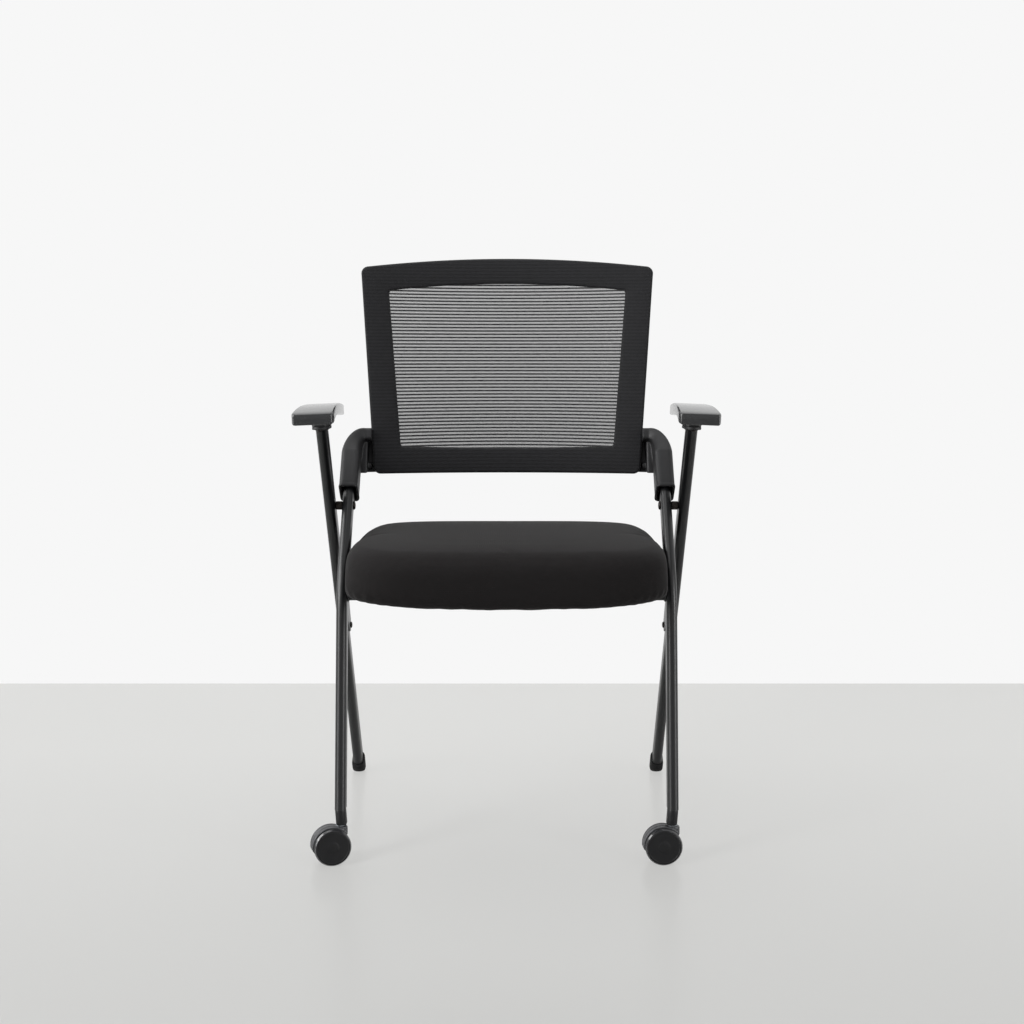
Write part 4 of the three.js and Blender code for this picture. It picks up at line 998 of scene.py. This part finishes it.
settled(seat_shell(), "seat", base_shell, "black_plastic", "seat_base")
for word, side in SIDES:
    clamp = from_node(f"{word}_hinge_clamp", f"{word}_tube_clamp", 1.0, 3)
    settled(clamp, "seat", support_nylon, "black_plastic", f"{word}_hinge_clamp")
    rest = from_node(f"{word}_rest_pad", f"{word}_rest_buffer", 0.6)
    settled(rest, "seat", foot_rubber, "dark_rubber", f"{word}_rest_pad")

# Casters, made once about their own stem and then set in place on both legs

wheel_radius = 26.5
caster_hub = Vector((-14, 0, wheel_radius))
left_turn = 17
right_turn = 3


def caster_wheel(sign):
    """A polyamide wheel with a groove for its tread, a dished face and a raised hub"""
    profile = [(3.4, 4.2), (20.5, 4.2), (21.5, 4.0), (23.4, 4.0), (24.0, 4.5), (24.2, 5.2), (24.2, 15.2),
               (23.8, 15.9), (23.2, 16.4), (22.4, 16.5), (21.8, 16.0), (13, 15.9), (9.2, 15.85),
               (8.5, 16.0), (8.0, 16.25), (5, 16.35), (1.5, 16.4)]
    return turned("wheel", caster_hub, BACKWARD * sign, profile, sides=72)


def caster_tread(sign):
    """The ring that rolls on the floor, with a wide bevel towards the wheel's face"""
    rings = [(24.3, 11.3), (25.6, 11.4), (26.2, 11.8), (wheel_radius, 12.6), (wheel_radius, 13.7),
             (26.2, 14.3), (24.7, 16.1), (24.3, 16.2)]
    axis = BACKWARD * sign
    return lofted("tread", [round_ring(caster_hub + axis * height, axis, radius, 72)
                            for radius, height in rings], looped=True)


def caster_hood():
    """A curved cover over both wheels, the fin between them and the neck round the stem"""
    hub = caster_hub
    cover_radius = 26.6
    turns = [math.radians(38 + 152 * step / 40) for step in range(41)]
    outs = [Vector((math.cos(angle), 0, math.sin(angle))) for angle in turns]
    cover = lofted("cover", [rounded(hub + out * cover_radius, BACKWARD, out, 20.8, 2.3, 1.05, steps=3)
                             for out in outs])
    ridges = [lofted("ridge", [rounded(hub + BACKWARD * across + out * 27.6, BACKWARD, out, wide, 1.5,
                                       0.6, steps=2) for out in outs])
              for across, wide in ((-9.3, 2.2), (9.3, 2.2), (0, 5.0))]
    fin = lofted("fin", [[hub + BACKWARD * y + out * cover_radius for out in outs]
                         + [hub + BACKWARD * y + Vector(corner) for corner in ((-5, 0, -5), (5, 0, -5))]
                         for y in (-3.5, 3.5)])
    neck = turned("neck", UP * 40, UP,
                  [(8.6, 0), (9.2, 1), (9.3, 12.4), (9.0, 13.4), (8.2, 13.9)], sides=40)
    stay = lofted("stay", [rounded(Vector((0.5, 0, z)), RIGHT, BACKWARD, 17, 6.8, 2.5, steps=3)
                           for z in (24, 30, 41)])
    ribs = []
    for turn in range(0, 360, 24):
        rib = added("rib", bpy.ops.mesh.primitive_cube_add, size=1, location=(0.0092, 0, 0.0465),
                    scale=(0.0014, 0.0013, 0.0105))
        rib.data.transform(Matrix.Rotation(math.radians(turn), 4, "Z"))
        ribs.append(rib)
    hood = joined("hood", *ridges, *ribs, stay, fin, neck, cover)
    return melted(hood, 0.55, 3, factor=0.4)


def caster_stem():
    return turned("stem", UP * 38, UP,
                  [(3.6, 0), (4, 0.5), (4, 15.8), (6.5, 15.9), (6.8, 16.3), (6.8, 17.2), (6.5, 17.5),
                   (4, 17.7), (4, 59), (3.5, 60)], sides=32)


def caster_axle():
    return turned("axle", caster_hub - BACKWARD * 11, BACKWARD,
                  [(2.6, 0), (3, 0.4), (3, 21.6), (2.6, 22)], sides=24)


def leg_socket(side):
    """A plug in the leg's end that leans inwards to the caster's stem"""
    return lofted("socket", [stadium(Vector((side * (front_half - lean), leg_point(1, front_foot.z).y, z)),
                                     BACKWARD, 15 - trim, 24 - trim)
                             for z, trim, lean in ((56, 1.6, 1.4), (56.6, 0.4, 1.4), (57.4, 0, 1.3),
                                                   (74, 0, 0.2), (77.7, 0.2, 0), (80, 3, 0))])


caster_forms = (
    ("front_wheel", caster_wheel(-1), wheel_nylon, "black_plastic", "front_wheel"),
    ("back_wheel", caster_wheel(1), wheel_nylon, "black_plastic", "back_wheel"),
    ("front_tread", caster_tread(-1), tread_skin, "black_plastic", "front_wheel"),
    ("back_tread", caster_tread(1), tread_skin, "black_plastic", "back_wheel"),
    ("caster_hood", caster_hood(), hood_nylon, "black_plastic", "swivel"),
    ("caster_stem", caster_stem(), zinc_plate, "zinc_steel", "swivel"),
    ("caster_axle", caster_axle(), zinc_plate, "zinc_steel", "swivel"),
)
for word, side in SIDES:
    turn = math.radians(left_turn if side < 0 else right_turn)
    place = Matrix.Translation(Vector((side * front_half, stem_y, 0)) * MM) @ Matrix.Rotation(turn, 4, "Z")
    for node, form, finish, slot, body in caster_forms:
        piece = duplicate(form, f"{word}_{node}_form")
        piece.data.transform(place)
        nodes = [f"{word}_{node}"] if f"{word}_{node}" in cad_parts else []
        settled(piece, f"{word}_{body}", finish, slot, *nodes)
    settled(leg_socket(side), "front_frame", wheel_nylon, "black_plastic",
            f"{word}_caster_socket").name = f"{word}_leg_socket"
for row in caster_forms:
    bpy.data.objects.remove(row[1])

# Room: pale floor, white wall, soft light from the upper left


def room_finish(name, colour, seen_colour, glow_share, shine_share):
    """A painted surface, seen partly by its own pale colour, that is clear from behind. Its glow carries
    painted shade that dims it towards the front of the floor
    """
    material, tree, surface, place = started(name, {"Roughness": 0.3, "Specular IOR Level": 0.5})
    surface.inputs["Base Color"].default_value = linear(colour)
    cloud = add_node(tree, "ShaderNodeTexNoise", {"Scale": 3.0, "Detail": 2.0}, [(place, "Vector")])
    roughened(tree, surface, cloud.outputs["Fac"], 0.255, 0.27)
    path = add_node(tree, "ShaderNodeLightPath", {})
    looked = add_node(tree, "ShaderNodeMath", {"operation": "MAXIMUM"},
                      [(path.outputs["Is Camera Ray"], 0), (path.outputs["Is Transmission Ray"], 1)])
    shine = add_node(tree, "ShaderNodeMath", {"operation": "MULTIPLY", 1: shine_share},
                     [(path.outputs["Is Glossy Ray"], 0)])
    share = add_node(tree, "ShaderNodeMath", {"operation": "MULTIPLY_ADD", 1: glow_share},
                     [(looked.outputs[0], 0), (shine.outputs[0], 2)])
    split = add_node(tree, "ShaderNodeSeparateXYZ", {}, [(place, "Vector")])
    # Painted shade: the glow's strength falls from 1 at y = 0.4 m to 0.84 at y = -0.7 m and in front of it,
    # so the floor is darker towards the camera
    painted_shade_ramp = add_node(tree, "ShaderNodeMapRange", {"From Min": -0.7, "From Max": 0.4, "To Min": 0.84},
                    [(split.outputs["Y"], "Value")])
    glow = add_node(tree, "ShaderNodeEmission", {"Color": linear(seen_colour)},
                    [(painted_shade_ramp.outputs["Result"], "Strength")])
    mix = add_node(tree, "ShaderNodeMixShader", {},
                   [(share.outputs[0], "Fac"), (surface.outputs[0], 1), (glow.outputs[0], 2)])
    back = add_node(tree, "ShaderNodeNewGeometry", {})
    clear = add_node(tree, "ShaderNodeBsdfTransparent", {})
    sided = add_node(tree, "ShaderNodeMixShader", {},
                     [(back.outputs["Backfacing"], "Fac"), (mix.outputs[0], 1), (clear.outputs[0], 2)])
    output = next(node for node in tree.nodes if node.type == "OUTPUT_MATERIAL")
    tree.links.new(sided.outputs[0], output.inputs["Surface"])
    return material


room_size = 12
wall_y = 0.965
floor = added("floor", bpy.ops.mesh.primitive_plane_add, size=room_size)
floor.data.materials.append(room_finish("pale_floor", "#dcdcda", "#efefed", 0.6, 0.3))
wall = added("wall", bpy.ops.mesh.primitive_plane_add, size=room_size, location=(0, wall_y, 0),
             rotation=(math.pi / 2, 0, 0))
wall.data.materials.append(room_finish("white_wall", "#f4f4f4", "#f7f7f7", 1.0, 1.0))


def soft_lamp(name, place, aim, size, power):
    bpy.ops.object.light_add(type="AREA", location=place)
    lamp = bpy.context.object
    lamp.name = name
    lamp.data.shape = "RECTANGLE"
    lamp.data.size, lamp.data.size_y = size
    lamp.data.energy = power
    lamp.rotation_euler = (Vector(aim) - Vector(place)).to_track_quat("-Z", "Y").to_euler()
    return lamp


soft_lamp("key", (-2.0, -1.8, 1.9), (0, 0, 0.45), (0.7, 2.0), 26)
soft_lamp("fill", (2.3, -1.6, 1.6), (0, 0, 0.45), (0.5, 2.0), 10)
soft_lamp("top", (-0.3, 0.1, 3.0), (0, 0, 0.4), (2.4, 1.6), 15)
for name, place, size, power in (("left_strip", (-2.6, -1.5, 0.7), (1.2, 1.7), 30),
                                 ("right_strip", (2.6, -1.3, 0.7), (1.0, 1.7), 26),
                                 ("left_card", (-2.2, -0.4, 1.6), (1.8, 1.6), 46)):
    soft_lamp(name, place, (0, 0, 0.35), size, power).visible_diffuse = False

world = bpy.data.worlds.new("studio")
bpy.context.scene.world = world
world.use_nodes = True
sky = world.node_tree.nodes["Background"]
sky.inputs["Color"].default_value = linear("#f7f7f7")
ways = add_node(world.node_tree, "ShaderNodeLightPath", {})
shine = add_node(world.node_tree, "ShaderNodeMath", {"operation": "MULTIPLY_ADD", 1: 0.45, 2: 0.2},
                 [(ways.outputs["Is Glossy Ray"], 0)])
add_node(world.node_tree, "ShaderNodeMath", {"operation": "MULTIPLY_ADD", 1: 0.8},
         [(ways.outputs["Is Camera Ray"], 0), (shine.outputs[0], 2)])
world.node_tree.links.new(world.node_tree.nodes[-1].outputs[0], sky.inputs["Strength"])

# Camera: a little right of the middle and above the seat, looking slightly down

camera_place = Vector((7.55, -2329.985, 739.31))
camera_dip = 6.332
bpy.ops.object.camera_add(location=camera_place * MM, rotation=(math.radians(90 - camera_dip), 0, 0))
camera = bpy.context.object
camera.data.lens = 54.49
camera.data.sensor_width = 36
bpy.context.scene.camera = camera
bpy.context.scene.view_settings.view_transform = "Standard"
